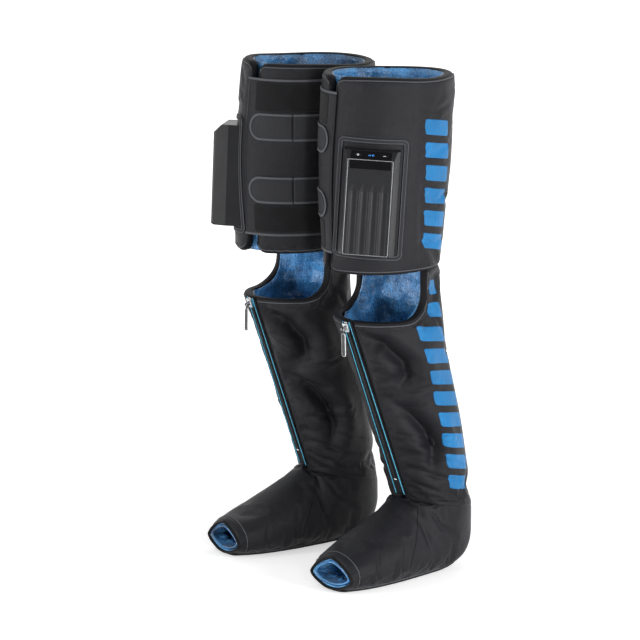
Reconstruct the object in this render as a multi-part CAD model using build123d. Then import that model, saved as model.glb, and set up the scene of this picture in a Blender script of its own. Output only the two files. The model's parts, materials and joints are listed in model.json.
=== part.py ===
from build123d import *
import os
from math import cos, hypot, radians, sin
from typing import NamedTuple

# A pair of full-leg compression boots. Each boot is a padded leg of three layers (cover, air
# chamber, lining) that is open at the knee and the toe, with a zip down the shin, a cuff round
# the thigh that closes with two straps, and a cordless air pump in a stitched frame on the
# outer front of the thigh.
#
# Millimetres and degrees. +Z is up and the toes point to -Y. The left boot stands on +X and the
# right boot is its mirror image in the plane X = 0. Each boot is built round its own ankle:
# +X is then the outer side of the leg and -X the inner side.

# ---- Stance ----
ANKLE_SPACING = 268.0
TOE_OUT = 5.0

# ---- Heights above the floor ----
BOOT_HEIGHT = 875.0
CUFF_BOTTOM = 545.0
KNEE_RIM = 460.0
KNEE_SIDE = -18.0
KNEE_CORNER = 55.0
SEAM_FRONT_HEIGHT = 132.0
SEAM_BACK_HEIGHT = 105.0
CALF_HEIGHT = 400.0
SHIN_HEIGHT = 250.0
LEG_FOOT = 92.0

# ---- The leg's outline ----
THIGH_TOP_WIDTH = 202.0
THIGH_MIDDLE_WIDTH = 200.0
KNEE_WIDTH = 180.0
CALF_WIDTH = 168.0
SHIN_WIDTH = 150.0
ANKLE_WIDTH = 122.0
SHIN_LEAN_FORWARD = 0.375
SHIN_LEAN_INWARD = 0.041
SHIN_START_HEIGHT = 116.0
LEG_PANELS = 28

# ---- The foot's outline ----
FOOT_LENGTH = 317.0
HEEL_BACK = 137.0
FOOT_WIDTH = 124.0
TOE_WIDTH = 100.0
TOE_HEIGHT = 50.0
SOLE_THICKNESS = 4.0
SOLE_MARGIN = 10.0
FOOT_PANEL_ANGLES = (-45.0, 0.0, 22.5, 45.0, 67.5)

# ---- The padded wall ----
COVER = 4.0
CHAMBER = 8.0
FOOT_CHAMBER = 6.0
LINING = 2.5
LAYER_GAP = 0.3
CHAMBER_MARGIN = 8.0
SEAM_GAP = 0.3
FOOT_LOW_CORNER = COVER + FOOT_CHAMBER + LINING + 2 * LAYER_GAP + 1.0

# ---- Opening of the cuff and its closure ----
CUFF_OPENING_START = 5.0
CUFF_OPENING_ANGLE = 10.0
LINING_SLIT_START = 16.0
LINING_SLIT_ANGLE = 1.0
PANEL_FRONT_ANGLE = 2.6
PANEL_BACK_ANGLE = 92.0
PANEL_MARGIN_TOP = 26.0
PANEL_MARGIN_BOTTOM = 31.0
PANEL_THICKNESS = 1.6
STRAP_WIDTH = 46.0
STRAP_THICKNESS = 2.2
STRAP_TIP_ANGLE = 9.0
STRAP_ROOT_ANGLE = 50.0
STRAP_BASE_START = 52.0
STRAP_BASE_END = 89.0
STRAP_UPPER_DROP = 109.0
STRAP_LOWER_RISE = 112.0

# ---- Zip on the shin ----
ZIP_TOP_DROP = 9.0
ZIP_TAPE_WIDTH = 26.0
ZIP_TAPE_THICKNESS = 1.0
ZIP_TAPE_END = 142.0
ZIP_STOP_HEIGHT = 168.0
ZIP_SLIT_WIDTH = 8.0
TEETH_WIDTH = 6.0
TEETH_HEIGHT = 2.0
TEETH_PITCH = 8.0
TEETH_NOTCH = 1.2
STOP_LENGTH = 5.0
SLIDER_LENGTH = 16.0
SLIDER_WIDTH_TOP = 13.0
SLIDER_WIDTH_BOTTOM = 9.6
SLIDER_HEIGHT = 5.0
SLIDER_CLEARANCE = 0.3
LUG_SPACING = 5.0
LUG_THICKNESS = 1.4
LUG_RISE = 5.0
PULL_PIN_RADIUS = 1.1
PULL_EYE_CLEARANCE = 0.06
PULL_EYE_RADIUS = 2.6
PULL_LENGTH = 46.0
PULL_WIDTH = 8.0
PULL_THICKNESS = 1.8

# ---- Pump casing ----
PUMP_HEIGHT = 175.0
PUMP_FRONT_WIDTH = 78.0
PUMP_BASE_WIDTH = 94.0
PUMP_DEPTH = 34.0
PUMP_CENTRE_HEIGHT = 671.0
PUMP_AZIMUTH = 41.0
PUMP_LEAN = 1.7
PUMP_ROLL = -3.3
PUMP_CORNER = 4.0
CONTROL_DROP = 14.0
PARTING_DEPTH = 8.0
FLOOR_DEPTH = 3.0
CASE_WALL = 2.4
FRONT_WALL = 3.4
FLUTE_COUNT = 4
FLUTE_PITCH = 17.0
FLUTE_RADIUS = 16.0
FLUTE_DEPTH = 1.8
FLUTE_LENGTH = 122.0
FLUTE_RUN_OUT = 14.0
WINDOW_THICKNESS = 1.2
WINDOW_WIDTH = 68.0
WINDOW_FRONT_STRIP = 15.0
FIT_GAP = 0.15

# ---- Buttons ----
BUTTON_LENGTH = 13.0
BUTTON_WIDTH = 6.0
BUTTON_SPACING = 22.0
BUTTON_PROUD = 0.5
BUTTON_TRAVEL = 1.2
BUTTON_FLANGE = 1.0
BUTTON_FLANGE_EDGE = 1.0
BUTTON_STEM = 2.6
BUTTON_BEVEL = 1.2
BUTTON_NAMES = ("power", "mode", "level")

# ---- What the casing holds ----
BOARD_DEPTH = 12.0
BOARD_LENGTH = 64.0
BOARD_WIDTH = 24.0
BOARD_THICKNESS = 1.6
SWITCH_SIZE = 6.0
SWITCH_HEIGHT = 3.5
LAMP_SIZE = 3.0
LAMP_HEIGHT = 1.5
CELL_DIAMETER = 18.4
CELL_LENGTH = 65.0
MOTOR_DIAMETER = 24.0
MOTOR_LENGTH = 30.0
PUMP_HEAD = 27.0
VALVE_BLOCK = (52.0, 18.0, 12.0)
VALVE_COUNT = 4
VALVE_WIDTH = 10.0
VALVE_HEIGHT = 9.0
NOZZLE_RADIUS = 2.2
NOZZLE_LENGTH = 9.0
BOSS_RADIUS = 3.2
BOSS_INSET_ACROSS = 9.5
BOSS_INSET_UP = 7.5
SCREW_RADIUS = 1.25
SCREW_HEAD_RADIUS = 2.5
SCREW_HEAD_HEIGHT = 1.8
SCREW_HEAD_DEPTH = -2.0
SCREW_ENGAGEMENT = 12.0
PORT_LENGTH = 9.2
PORT_HEIGHT = 3.4
PORT_WALL = 0.5
PORT_BEVEL = 1.0
PORT_DEPTH = 7.0
PORT_CENTRE_DEPTH = 16.0

# ---- Pocket frame round the pump ----
FRAME_MARGIN = 4.0
FRAME_TOP_MARGIN = 10.0
FRAME_WELT = 6.0
FRAME_THICKNESS = 1.6

FAR = 600.0


class Outline(NamedTuple):
    """Horizontal oval through the leg at one height."""

    height: float
    centre: float
    front: float
    back: float
    width: float


class Station(NamedTuple):
    """Upright section through the foot, that many millimetres behind the ankle centre."""

    behind: float
    width: float
    low: float
    high: float
    crown: float


def shin_y(height):
    """Front of the shin, which is straight so that the zip can run down it."""
    return -1.0 - SHIN_LEAN_FORWARD * (height - SHIN_START_HEIGHT)


def shin_x(height):
    """Middle of the shin, which leans inwards going up."""
    return -SHIN_LEAN_INWARD * (height - SHIN_START_HEIGHT)


THIGH = (
    Outline(CUFF_BOTTOM, -17.0, -148.0, 58.0, KNEE_WIDTH),
    Outline((CUFF_BOTTOM + BOOT_HEIGHT) / 2, -23.0, -149.0, 85.0, THIGH_MIDDLE_WIDTH),
    Outline(BOOT_HEIGHT, -30.0, -136.0, 102.0, THIGH_TOP_WIDTH),
)
CALF = (
    Outline(LEG_FOOT, shin_x(LEG_FOOT), shin_y(LEG_FOOT), HEEL_BACK + 1.0, ANKLE_WIDTH),
    Outline(SHIN_HEIGHT, shin_x(SHIN_HEIGHT), shin_y(SHIN_HEIGHT), 111.0, SHIN_WIDTH),
    Outline(CALF_HEIGHT, shin_x(CALF_HEIGHT), shin_y(CALF_HEIGHT), 73.0, CALF_WIDTH),
    Outline(CUFF_BOTTOM, shin_x(CUFF_BOTTOM), shin_y(CUFF_BOTTOM), 58.0, KNEE_WIDTH),
)
TOE_END = HEEL_BACK - FOOT_LENGTH
FOOT = (
    Station(HEEL_BACK, 44.0, 36.0, 126.0, 18.0),
    Station(HEEL_BACK - 25.0, 92.0, 8.0, 150.0, 40.0),
    Station(50.0, FOOT_WIDTH - 2.0, 0.0, 165.0, 45.0),
    Station(-8.0, FOOT_WIDTH, 0.0, SEAM_FRONT_HEIGHT + 2.0, 48.0),
    Station(TOE_END + 95.0, FOOT_WIDTH, 0.0, TOE_HEIGHT + 48.0, 42.0),
    Station(TOE_END + 50.0, FOOT_WIDTH - 4.0, 0.0, TOE_HEIGHT + 24.0, 34.0),
    Station(TOE_END, TOE_WIDTH, 0.0, TOE_HEIGHT, 21.0),
    Station(TOE_END - 20.0, TOE_WIDTH - 8.0, 0.0, TOE_HEIGHT - 8.0, 17.0),
)


# ---- Forms of the padded leg ----


def corners_of(sides):
    """Corners of the shape whose sides lie, in turn, at each (angle, reach) from the middle.

    The angle is that of the side's outward normal. Shapes that share their angles have
    parallel sides, so the panels between them are flat, like cut cloth.
    """
    corners = []
    for (angle, reach), (next_angle, next_reach) in zip(sides, sides[1:] + sides[:1]):
        a, b = radians(angle), radians(next_angle)
        turn = sin(b - a)
        across = (reach * sin(b) - next_reach * sin(a)) / turn
        along = (next_reach * cos(a) - reach * cos(b)) / turn
        corners.append((across, along))
    return corners


def skin(rings):
    """Solid closed by a flat panel between each pair of corners of following rings."""
    faces = [Face(Wire.make_polygon(rings[0])), Face(Wire.make_polygon(rings[-1]))]
    for ring, following in zip(rings, rings[1:]):
        for index in range(len(ring)):
            panel = (ring[index - 1], ring[index], following[index], following[index - 1])
            faces.append(Face(Wire.make_polygon(panel)))
    return Solid(Shell(faces))


def leg_ring(outline, inset):
    """Corners of the outline's oval, drawn in by inset (let out where inset is negative)."""
    middle = (outline.front + outline.back) / 2
    half_depth = (outline.back - outline.front) / 2
    sides = []
    for index in range(LEG_PANELS):
        angle = index * 360.0 / LEG_PANELS
        reach = hypot(outline.width / 2 * cos(radians(angle)), half_depth * sin(radians(angle)))
        sides.append((angle, reach - inset))
    corners = corners_of(sides)
    return [(outline.centre + x, middle + y, outline.height) for x, y in corners]


def leg_form(outlines, inset):
    """Solid leg through the outlines, drawn in by inset all round."""
    return skin([leg_ring(outline, inset) for outline in outlines])


def slab(low, high):
    """Everything between two heights."""
    return Pos(0, 0, (low + high) / 2) * Box(2 * FAR, 2 * FAR, high - low)


def seam_plane(rise):
    """The tilted ankle seam between foot and leg, moved up by rise."""
    run = HEEL_BACK + 8.0
    slope = (SEAM_BACK_HEIGHT - SEAM_FRONT_HEIGHT) / run
    normal = (0, -slope, 1)
    return Plane(origin=(0, -8.0, SEAM_FRONT_HEIGHT + rise), x_dir=(1, 0, 0), z_dir=normal)


def side_of_seam(rise, above):
    """Half space above or below the ankle seam."""
    block = extrude(seam_plane(rise) * Rectangle(2 * FAR, 2 * FAR), FAR if above else -FAR)
    return block


def foot_ring(station, inset):
    """Upright section of the foot: flat bottom, tight lower corners and a crowned top."""
    half_width = station.width / 2
    half_height = (station.high - station.low) / 2
    sides = [(270.0, half_height - inset)]
    for angle in FOOT_PANEL_ANGLES:
        radius = FOOT_LOW_CORNER if angle < 0 else max(station.crown, FOOT_LOW_CORNER)
        reach = (half_width - radius) * cos(radians(angle))
        reach += (half_height - radius) * abs(sin(radians(angle))) + radius
        sides.append((angle, reach - inset))
    sides.append((90.0, half_height - inset))
    sides += [(180.0 - angle, reach) for angle, reach in reversed(sides[1:-1])]
    middle = (station.high + station.low) / 2
    return [(x, station.behind, middle + z) for x, z in corners_of(sides)]


def foot_form(inset):
    """Solid foot drawn in by inset, with its toe end running on past the toe."""
    heel = FOOT[0]._replace(behind=FOOT[0].behind - inset)
    form = skin([foot_ring(station, inset) for station in (heel, *FOOT[1:])])
    return form & slab(SOLE_THICKNESS + SEAM_GAP + inset, FAR)


def sector(start, end, low, high):
    """Wedge of the cuff between two angles from the front, positive on the inner side."""
    middle = THIGH[1]
    centre = (middle.centre, (middle.front + middle.back) / 2)
    count = 1 + int((end - start) / 60)
    angles = [start + (end - start) * step / count for step in range(count + 1)]
    rim = [
        (centre[0] - FAR * sin(radians(angle)), centre[1] - FAR * cos(radians(angle)))
        for angle in angles
    ]
    wedge = make_face(Polyline(centre, *rim, close=True))
    return extrude(Pos(0, 0, low) * wedge, high - low)


def thigh_layer(inset, thickness, margin):
    """One layer of the cuff, margin short of its top and bottom edge."""
    ring = leg_form(THIGH, inset) - leg_form(THIGH, inset + thickness)
    if margin:
        ring &= slab(CUFF_BOTTOM + margin, BOOT_HEIGHT - margin)
    return ring


def knee_window(margin):
    """What is cut away in front of the knee, rounded where its rim turns up at the sides."""
    side_y, rim = KNEE_SIDE + margin, KNEE_RIM - margin
    sketch = Plane.YZ * Pos(side_y - FAR / 2, rim + FAR / 2) * Rectangle(FAR, FAR)
    low_back = sketch.vertices().sort_by(Axis.Z)[:2].sort_by(Axis.Y)[-1]
    return extrude(fillet(low_back, KNEE_CORNER), FAR, both=True)


def zip_slit(width):
    """Slot in a layer behind the zip, from the knee rim to the end of the tape."""
    length = (KNEE_RIM - ZIP_TAPE_END) * hypot(1, SHIN_LEAN_FORWARD)
    slot = Pos(0, ZIP_TOP_RISE - length / 2 + 30.0, 0) * Box(width, length + 20.0, 60.0)
    return ZIP * slot


def calf_layer(inset, thickness, margin, slit):
    """One layer of the calf, open at the front of the knee and along the zip."""
    ring = leg_form(CALF, inset) - leg_form(CALF, inset + thickness)
    ring &= side_of_seam(margin + SEAM_GAP, True)
    ring -= slab(CUFF_BOTTOM - margin - SEAM_GAP, FAR)
    ring -= knee_window(margin)
    return ring - zip_slit(slit)


def foot_layer(inset, thickness, margin):
    """One layer of the foot, open at the toe and at the ankle seam."""
    shell = foot_form(inset) - foot_form(inset + thickness)
    shell &= side_of_seam(-margin, False)
    toe = TOE_END + margin
    return shell & (Pos(0, toe + FAR / 2, 0) * Box(2 * FAR, FAR, 2 * FAR))


# ---- Soft pieces ----


def make_leg_layers():
    """Covers, air chambers and linings of the thigh, calf and foot."""
    chamber_in = COVER + LAYER_GAP
    lining_in = chamber_in + CHAMBER + LAYER_GAP
    foot_lining_in = chamber_in + FOOT_CHAMBER + LAYER_GAP
    opening = sector(CUFF_OPENING_START, CUFF_OPENING_START + CUFF_OPENING_ANGLE, 0, 2 * FAR)
    lining_slit = sector(LINING_SLIT_START, LINING_SLIT_START + LINING_SLIT_ANGLE, 0, 2 * FAR)
    return {
        "thigh_cover": thigh_layer(0, COVER, 0) - opening,
        "thigh_chamber": thigh_layer(chamber_in, CHAMBER, CHAMBER_MARGIN) - opening,
        "thigh_lining": thigh_layer(lining_in, LINING, 0) - lining_slit,
        "calf_cover": calf_layer(0, COVER, 0, ZIP_SLIT_WIDTH),
        "calf_chamber": calf_layer(chamber_in, CHAMBER, CHAMBER_MARGIN, 3 * ZIP_SLIT_WIDTH),
        "calf_lining": calf_layer(lining_in, LINING, 0, ZIP_SLIT_WIDTH / 2),
        "foot_cover": foot_layer(0, COVER, 0),
        "foot_chamber": foot_layer(chamber_in, FOOT_CHAMBER, CHAMBER_MARGIN),
        "foot_lining": foot_layer(foot_lining_in, LINING, 0),
    }


def make_sole():
    """Flat sole with a round heel, full ball and squarer toe."""
    heel_radius = FOOT_WIDTH / 2 - SOLE_MARGIN - 8.0
    heel = Pos(0, HEEL_BACK - SOLE_MARGIN - 16.0 - heel_radius) * Circle(heel_radius)
    ball = Pos(0, TOE_END + 105.0) * Circle(FOOT_WIDTH / 2 - SOLE_MARGIN)
    toe_radius = 20.0
    toe_side = TOE_WIDTH / 2 - SOLE_MARGIN - toe_radius
    toe_y = TOE_END + SOLE_MARGIN / 2 + toe_radius
    toes = [Pos(side * toe_side, toe_y) * Circle(toe_radius) for side in (-1, 1)]
    edges = [edge for part in (heel, ball, *toes) for edge in part.edges()]
    return extrude(make_hull(edges), SOLE_THICKNESS)


def thigh_skin(rise, thickness):
    """Layer of this thickness that lies on the cuff, rise above its cover."""
    return leg_form(THIGH, -rise - thickness) - leg_form(THIGH, -rise)


def make_closure_panel():
    """Loop panel over the opening of the cuff, with the ends of the straps sewn on it."""
    area = sector(
        PANEL_FRONT_ANGLE,
        PANEL_BACK_ANGLE,
        CUFF_BOTTOM + PANEL_MARGIN_BOTTOM,
        BOOT_HEIGHT - PANEL_MARGIN_TOP,
    )
    panel = thigh_skin(LAYER_GAP, PANEL_THICKNESS) & area
    sewn = thigh_skin(LAYER_GAP, PANEL_THICKNESS + LAYER_GAP + STRAP_THICKNESS)
    for name in ("upper", "lower"):
        low, high = strap_height(name) - STRAP_WIDTH / 2, strap_height(name) + STRAP_WIDTH / 2
        panel += sewn & sector(STRAP_BASE_START, STRAP_BASE_END, low, high)
    return panel


def strap_height(name):
    """Middle height of the upper or the lower strap."""
    return BOOT_HEIGHT - STRAP_UPPER_DROP if name == "upper" else CUFF_BOTTOM + STRAP_LOWER_RISE


def make_strap(name):
    """Closure strap from its root to its round tip, lying on the panel."""
    height = strap_height(name)
    low, high = height - STRAP_WIDTH / 2, height + STRAP_WIDTH / 2
    band = thigh_skin(2 * LAYER_GAP + PANEL_THICKNESS, STRAP_THICKNESS)
    band &= sector(STRAP_TIP_ANGLE, STRAP_ROOT_ANGLE, low, high)
    tip = thigh_point(STRAP_TIP_ANGLE, height)
    root = thigh_point(STRAP_ROOT_ANGLE, height)
    across = (tip - root).normalized()
    outward = across.cross(Vector(0, 0, 1))
    reach = (tip - root).length + 20.0
    face = Plane(origin=tip - outward * 100.0, x_dir=across, z_dir=outward)
    strap_shape = Pos(-reach / 2, 0) * SlotOverall(reach, STRAP_WIDTH)
    root_end = Pos(-reach, 0) * Rectangle(STRAP_WIDTH * 2, STRAP_WIDTH)
    return band & extrude(face * (strap_shape + root_end), 200.0)


def thigh_outline(height):
    """The cuff's outline at any height, on the parabola through its three outlines."""
    values = []
    for column in range(1, 5):
        total = 0.0
        for one in THIGH:
            term = one[column]
            for other in THIGH:
                if other is not one:
                    term *= (height - other.height) / (one.height - other.height)
            total += term
        values.append(total)
    return Outline(height, *values)


def thigh_point(angle, height):
    """Point on the cuff's surface, by the outline's own angle from the front, inner side positive."""
    outline = thigh_outline(height)
    depth = (outline.back - outline.front) / 2
    middle = (outline.front + outline.back) / 2
    across = outline.centre - outline.width / 2 * sin(radians(angle))
    return Vector(across, middle - depth * cos(radians(angle)), height)


# ---- Zip ----

ZIP_TOP_HEIGHT = KNEE_RIM - ZIP_TOP_DROP
ZIP_UP = Vector(-SHIN_LEAN_INWARD, -SHIN_LEAN_FORWARD, 1).normalized()
ZIP_OUT = Vector(0, -1, -SHIN_LEAN_FORWARD).normalized()
ZIP = Plane(
    origin=(shin_x(ZIP_TOP_HEIGHT), shin_y(ZIP_TOP_HEIGHT), ZIP_TOP_HEIGHT),
    x_dir=ZIP_UP.cross(ZIP_OUT),
    z_dir=ZIP_OUT,
)
ZIP_STRETCH = hypot(1, SHIN_LEAN_FORWARD)
ZIP_TOP_RISE = ZIP_TOP_DROP * ZIP_STRETCH
ZIP_TRAVEL = (ZIP_TOP_HEIGHT - ZIP_STOP_HEIGHT) * ZIP_STRETCH - SLIDER_LENGTH / 2 - STOP_LENGTH
TAPE_TOP = LAYER_GAP + ZIP_TAPE_THICKNESS


def make_zip_tape():
    """Tape down the shin, from the knee rim to the ankle."""
    length = (KNEE_RIM - ZIP_TAPE_END) * ZIP_STRETCH
    tape = Box(ZIP_TAPE_WIDTH, length, ZIP_TAPE_THICKNESS)
    return ZIP * Pos(0, ZIP_TOP_RISE - length / 2, LAYER_GAP + ZIP_TAPE_THICKNESS / 2) * tape


def make_zip_teeth():
    """Closed chain of teeth with a stop at each end, as one rack that bulges at each tooth."""
    low = (ZIP_STOP_HEIGHT - ZIP_TOP_HEIGHT) * ZIP_STRETCH
    high = ZIP_TOP_RISE
    count = int((high - low - 2 * STOP_LENGTH) / TEETH_PITCH)
    wide, narrow = TEETH_WIDTH / 2, TEETH_WIDTH / 2 - TEETH_NOTCH
    points = [(wide, low), (wide, low + STOP_LENGTH)]
    for tooth in range(count):
        start = low + STOP_LENGTH + tooth * TEETH_PITCH
        points.append((narrow, start + TEETH_PITCH / 4))
        points.append((wide, start + TEETH_PITCH / 2))
        points.append((wide, start + TEETH_PITCH))
    points.append((wide, high))
    left = [(-across, along) for across, along in reversed(points)]
    chain = extrude(make_face(Polyline(*points, *left, close=True)), TEETH_HEIGHT)
    return ZIP * Pos(0, 0, TAPE_TOP) * chain


def make_zip_slider():
    """Slider that straddles the teeth, with two lugs and the pin that the pull hangs on."""
    base = TAPE_TOP + SLIDER_CLEARANCE
    top, bottom = SLIDER_LENGTH / 2, -SLIDER_LENGTH / 2
    wide, narrow = SLIDER_WIDTH_TOP / 2, SLIDER_WIDTH_BOTTOM / 2
    plan = Polyline((-narrow, bottom), (narrow, bottom), (wide, top), (-wide, top), close=True)
    body = Pos(0, 0, base) * extrude(make_face(plan), SLIDER_HEIGHT)
    body = fillet(body.edges().group_by(Axis.Z)[-1], 1.2)
    channel_height = TEETH_HEIGHT + SLIDER_CLEARANCE
    channel = Box(TEETH_WIDTH + 2 * SLIDER_CLEARANCE, SLIDER_LENGTH + 2, 2 * channel_height)
    body -= Pos(0, 0, TAPE_TOP) * channel
    lug_profile = Plane.YZ * Pos(0, base + SLIDER_HEIGHT) * SlotOverall(2 * LUG_RISE + 5.0, 5.0, 90)
    for side in (-1, 1):
        middle = side * (LUG_SPACING + LUG_THICKNESS) / 2
        lug = Pos(middle, 0, 0) * extrude(lug_profile, LUG_THICKNESS / 2, both=True)
        body += lug & (Pos(0, 0, base + SLIDER_HEIGHT + FAR / 2 - 1) * Box(FAR, FAR, FAR))
    pin = Rot(0, 90, 0) * Cylinder(PULL_PIN_RADIUS, LUG_SPACING + LUG_THICKNESS)
    return ZIP * (body + Pos(0, 0, PULL_PIN_RISE) * pin)


PULL_PIN_RISE = TAPE_TOP + SLIDER_CLEARANCE + SLIDER_HEIGHT + LUG_RISE
PULL_PIVOT = ZIP.from_local_coords(Vector(0, 0, PULL_PIN_RISE))
PULL = Plane(
    origin=PULL_PIVOT,
    x_dir=ZIP.x_dir,
    z_dir=ZIP.x_dir.cross(Vector(0, 0, 1)).normalized(),
)


def make_zip_pull():
    """Pull that hangs straight down from the slider's pin."""
    eye_width = LUG_SPACING - 2 * SLIDER_CLEARANCE
    eye = Rot(0, 90, 0) * Cylinder(PULL_EYE_RADIUS, eye_width)
    neck = Pos(0, -PULL_EYE_RADIUS - 1.5, 0) * Box(eye_width, 7.0, PULL_THICKNESS)
    blade_length = PULL_LENGTH - 7.0
    blade = extrude(
        Pos(0, -7.0 - blade_length / 2) * RectangleRounded(PULL_WIDTH, blade_length, 3.0),
        PULL_THICKNESS / 2,
        both=True,
    )
    hole = Rot(0, 90, 0) * Cylinder(PULL_PIN_RADIUS + PULL_EYE_CLEARANCE, FAR / 10)
    return PULL * (eye + neck + blade - hole)


# ---- Pump ----


def pump_plane():
    """Local frame of the pump: X to the right as one faces it, Y up, Z out of the thigh.

    Its origin is where the pump's middle meets the cover.
    """
    outline = thigh_outline(PUMP_CENTRE_HEIGHT)
    half_width = outline.width / 2
    half_depth = (outline.back - outline.front) / 2
    azimuth = radians(PUMP_AZIMUTH)
    scale = hypot(half_width * sin(azimuth), half_depth * cos(azimuth))
    point = Vector(
        outline.centre + half_width**2 * sin(azimuth) / scale,
        (outline.front + outline.back) / 2 - half_depth**2 * cos(azimuth) / scale,
        PUMP_CENTRE_HEIGHT,
    )
    lean = radians(PUMP_LEAN)
    outward = Vector(sin(azimuth) * cos(lean), -cos(azimuth) * cos(lean), sin(lean))
    right = Vector(cos(azimuth), sin(azimuth), 0)
    up = outward.cross(right)
    roll = radians(PUMP_ROLL)
    return Plane(origin=point, x_dir=right * cos(roll) + up * sin(roll), z_dir=outward)


PUMP = pump_plane()
PUMP_TOP = PUMP_HEIGHT / 2
PUMP_BEHIND = -20.0
CONTROL_LENGTH = CONTROL_DROP * hypot(1, 1)
CONTROL = Plane(
    origin=(0, PUMP_TOP - CONTROL_DROP / 2, PUMP_DEPTH - CONTROL_DROP / 2),
    x_dir=(1, 0, 0),
    z_dir=(0, 1, 1),
)
FRONT_TOP = PUMP_TOP - CONTROL_DROP


def pump_side_profile():
    """Side view of the casing: flat front, sloped control face, eased lower edge."""
    ease = 5.0
    corners = Polyline(
        (-PUMP_TOP, PUMP_BEHIND),
        (-PUMP_TOP, PUMP_DEPTH - ease),
        (-PUMP_TOP + ease / 2, PUMP_DEPTH),
        (FRONT_TOP, PUMP_DEPTH),
        (PUMP_TOP, PUMP_DEPTH - CONTROL_DROP),
        (PUMP_TOP, PUMP_BEHIND),
        close=True,
    )
    return make_face(Plane.YZ * corners)


def pump_plan_profile():
    """Top view of the casing: sides that draw in towards the front, with rounded corners."""
    front, base = PUMP_FRONT_WIDTH / 2, PUMP_BASE_WIDTH / 2
    corners = Polyline(
        (-base, PUMP_BEHIND),
        (-base, PARTING_DEPTH),
        (-front, PUMP_DEPTH),
        (front, PUMP_DEPTH),
        (base, PARTING_DEPTH),
        (base, PUMP_BEHIND),
        close=True,
    )
    plan = make_face(Plane.XZ * corners)
    fronts = plan.vertices().sort_by(Axis.Z)[-2:]
    return fillet(fronts, PUMP_CORNER)


def pump_form(inset):
    """Solid casing drawn in by inset."""
    side, plan = pump_side_profile(), pump_plan_profile()
    if inset:
        side = offset(side, amount=-inset, kind=Kind.INTERSECTION)
        plan = offset(plan, amount=-inset, kind=Kind.INTERSECTION)
    return extrude(side, FAR / 4, both=True) & extrude(plan, FAR / 4, both=True)


def depth_slab(low, high):
    """Everything between two depths of the pump."""
    return Pos(0, 0, (low + high) / 2) * Box(FAR, FAR, high - low)


def window_area(margin):
    """Region of the casing that the control window covers."""
    low = FRONT_TOP - WINDOW_FRONT_STRIP - margin
    depth = PUMP_DEPTH - CONTROL_DROP + 0.5 - margin
    height = FAR - low
    block = Box(WINDOW_WIDTH + 2 * margin, height, FAR)
    return Pos(0, low + height / 2, depth + FAR / 2) * block


def flute_cutters():
    """Grooves side by side down the front, open at the lower edge and run out at the top."""
    middle = (FLUTE_COUNT - 1) / 2
    axis_depth = PUMP_DEPTH + FLUTE_RADIUS - FLUTE_DEPTH
    end = -PUMP_TOP + FLUTE_LENGTH
    cutters = []
    for index in range(FLUTE_COUNT):
        groove = Pos(0, -FLUTE_LENGTH, 0) * Rot(90, 0, 0) * Cylinder(FLUTE_RADIUS, 2 * FLUTE_LENGTH)
        run_out = Cone(FLUTE_RADIUS, FLUTE_RADIUS - FLUTE_DEPTH, FLUTE_RUN_OUT)
        groove += Pos(0, FLUTE_RUN_OUT / 2, 0) * Rot(-90, 0, 0) * run_out
        across = (index - middle) * FLUTE_PITCH
        cutters.append(Pos(across, end - FLUTE_RUN_OUT, axis_depth) * groove)
    return cutters


def boss_places():
    """Middles of the four screw bosses."""
    across = PUMP_BASE_WIDTH / 2 - BOSS_INSET_ACROSS
    up = PUMP_TOP - BOSS_INSET_UP
    return [(x, y) for x in (-across, across) for y in (-up, up)]


def button_places():
    """Names of the buttons and where each stands across the control face."""
    return {name: (index - 1) * BUTTON_SPACING for index, name in enumerate(BUTTON_NAMES)}


def button_shape(margin):
    """Outline of a button let out by margin, with bevelled corners."""
    shape = Rectangle(BUTTON_LENGTH + 2 * margin, BUTTON_WIDTH + 2 * margin)
    return chamfer(shape.vertices(), BUTTON_BEVEL)


def button_holes():
    """Cutters for the button openings through window and casing."""
    hole = extrude(button_shape(FIT_GAP), CASE_WALL + 1, both=True)
    return [CONTROL * Pos(across, 0, 0) * hole for across in button_places().values()]


def port_place():
    """Frame of the charge port in the lower wall, Z pointing out."""
    return Plane(origin=(0, -PUMP_TOP, PORT_CENTRE_DEPTH), x_dir=(1, 0, 0), z_dir=(0, -1, 0))


def port_shape(margin):
    """Outline of the charge port let out by margin, with bevelled corners."""
    shape = Rectangle(PORT_LENGTH + 2 * margin, PORT_HEIGHT + 2 * margin)
    return chamfer(shape.vertices(), PORT_BEVEL)


def make_front_shell():
    """Moulded front casing: fluted front, seat for the window, button holes, bosses and posts."""
    shell = pump_form(0) - (pump_form(CASE_WALL) & depth_slab(-FAR, PUMP_DEPTH - FRONT_WALL))
    shell &= depth_slab(PARTING_DEPTH, FAR)
    seat = (pump_form(0) - pump_form(WINDOW_THICKNESS + FIT_GAP)) & window_area(FIT_GAP)
    shell -= seat
    for cutter in flute_cutters() + button_holes():
        shell -= cutter
    top = PUMP_DEPTH - FRONT_WALL
    length = top - PARTING_DEPTH
    for x, y in boss_places():
        boss = Cylinder(BOSS_RADIUS, length + 0.5, align=(Align.CENTER, Align.CENTER, Align.MIN))
        shell += (Pos(x, y, PARTING_DEPTH) * boss) & pump_form(CASE_WALL / 2)
        bore = Cylinder(SCREW_RADIUS + 0.05, SCREW_ENGAGEMENT + 1)
        shell -= Pos(x, y, PARTING_DEPTH + SCREW_ENGAGEMENT / 2) * bore
    post_length = BOARD_DEPTH - CASE_WALL + 0.5
    for side in (-1, 1):
        post = Cylinder(2.0, post_length, align=(Align.CENTER, Align.CENTER, Align.MIN))
        shell += CONTROL * Pos(side * BUTTON_SPACING / 2, 0, -BOARD_DEPTH) * post
    shell -= port_place() * extrude(port_shape(FIT_GAP), CASE_WALL + 1, both=True)
    return shell


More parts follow.
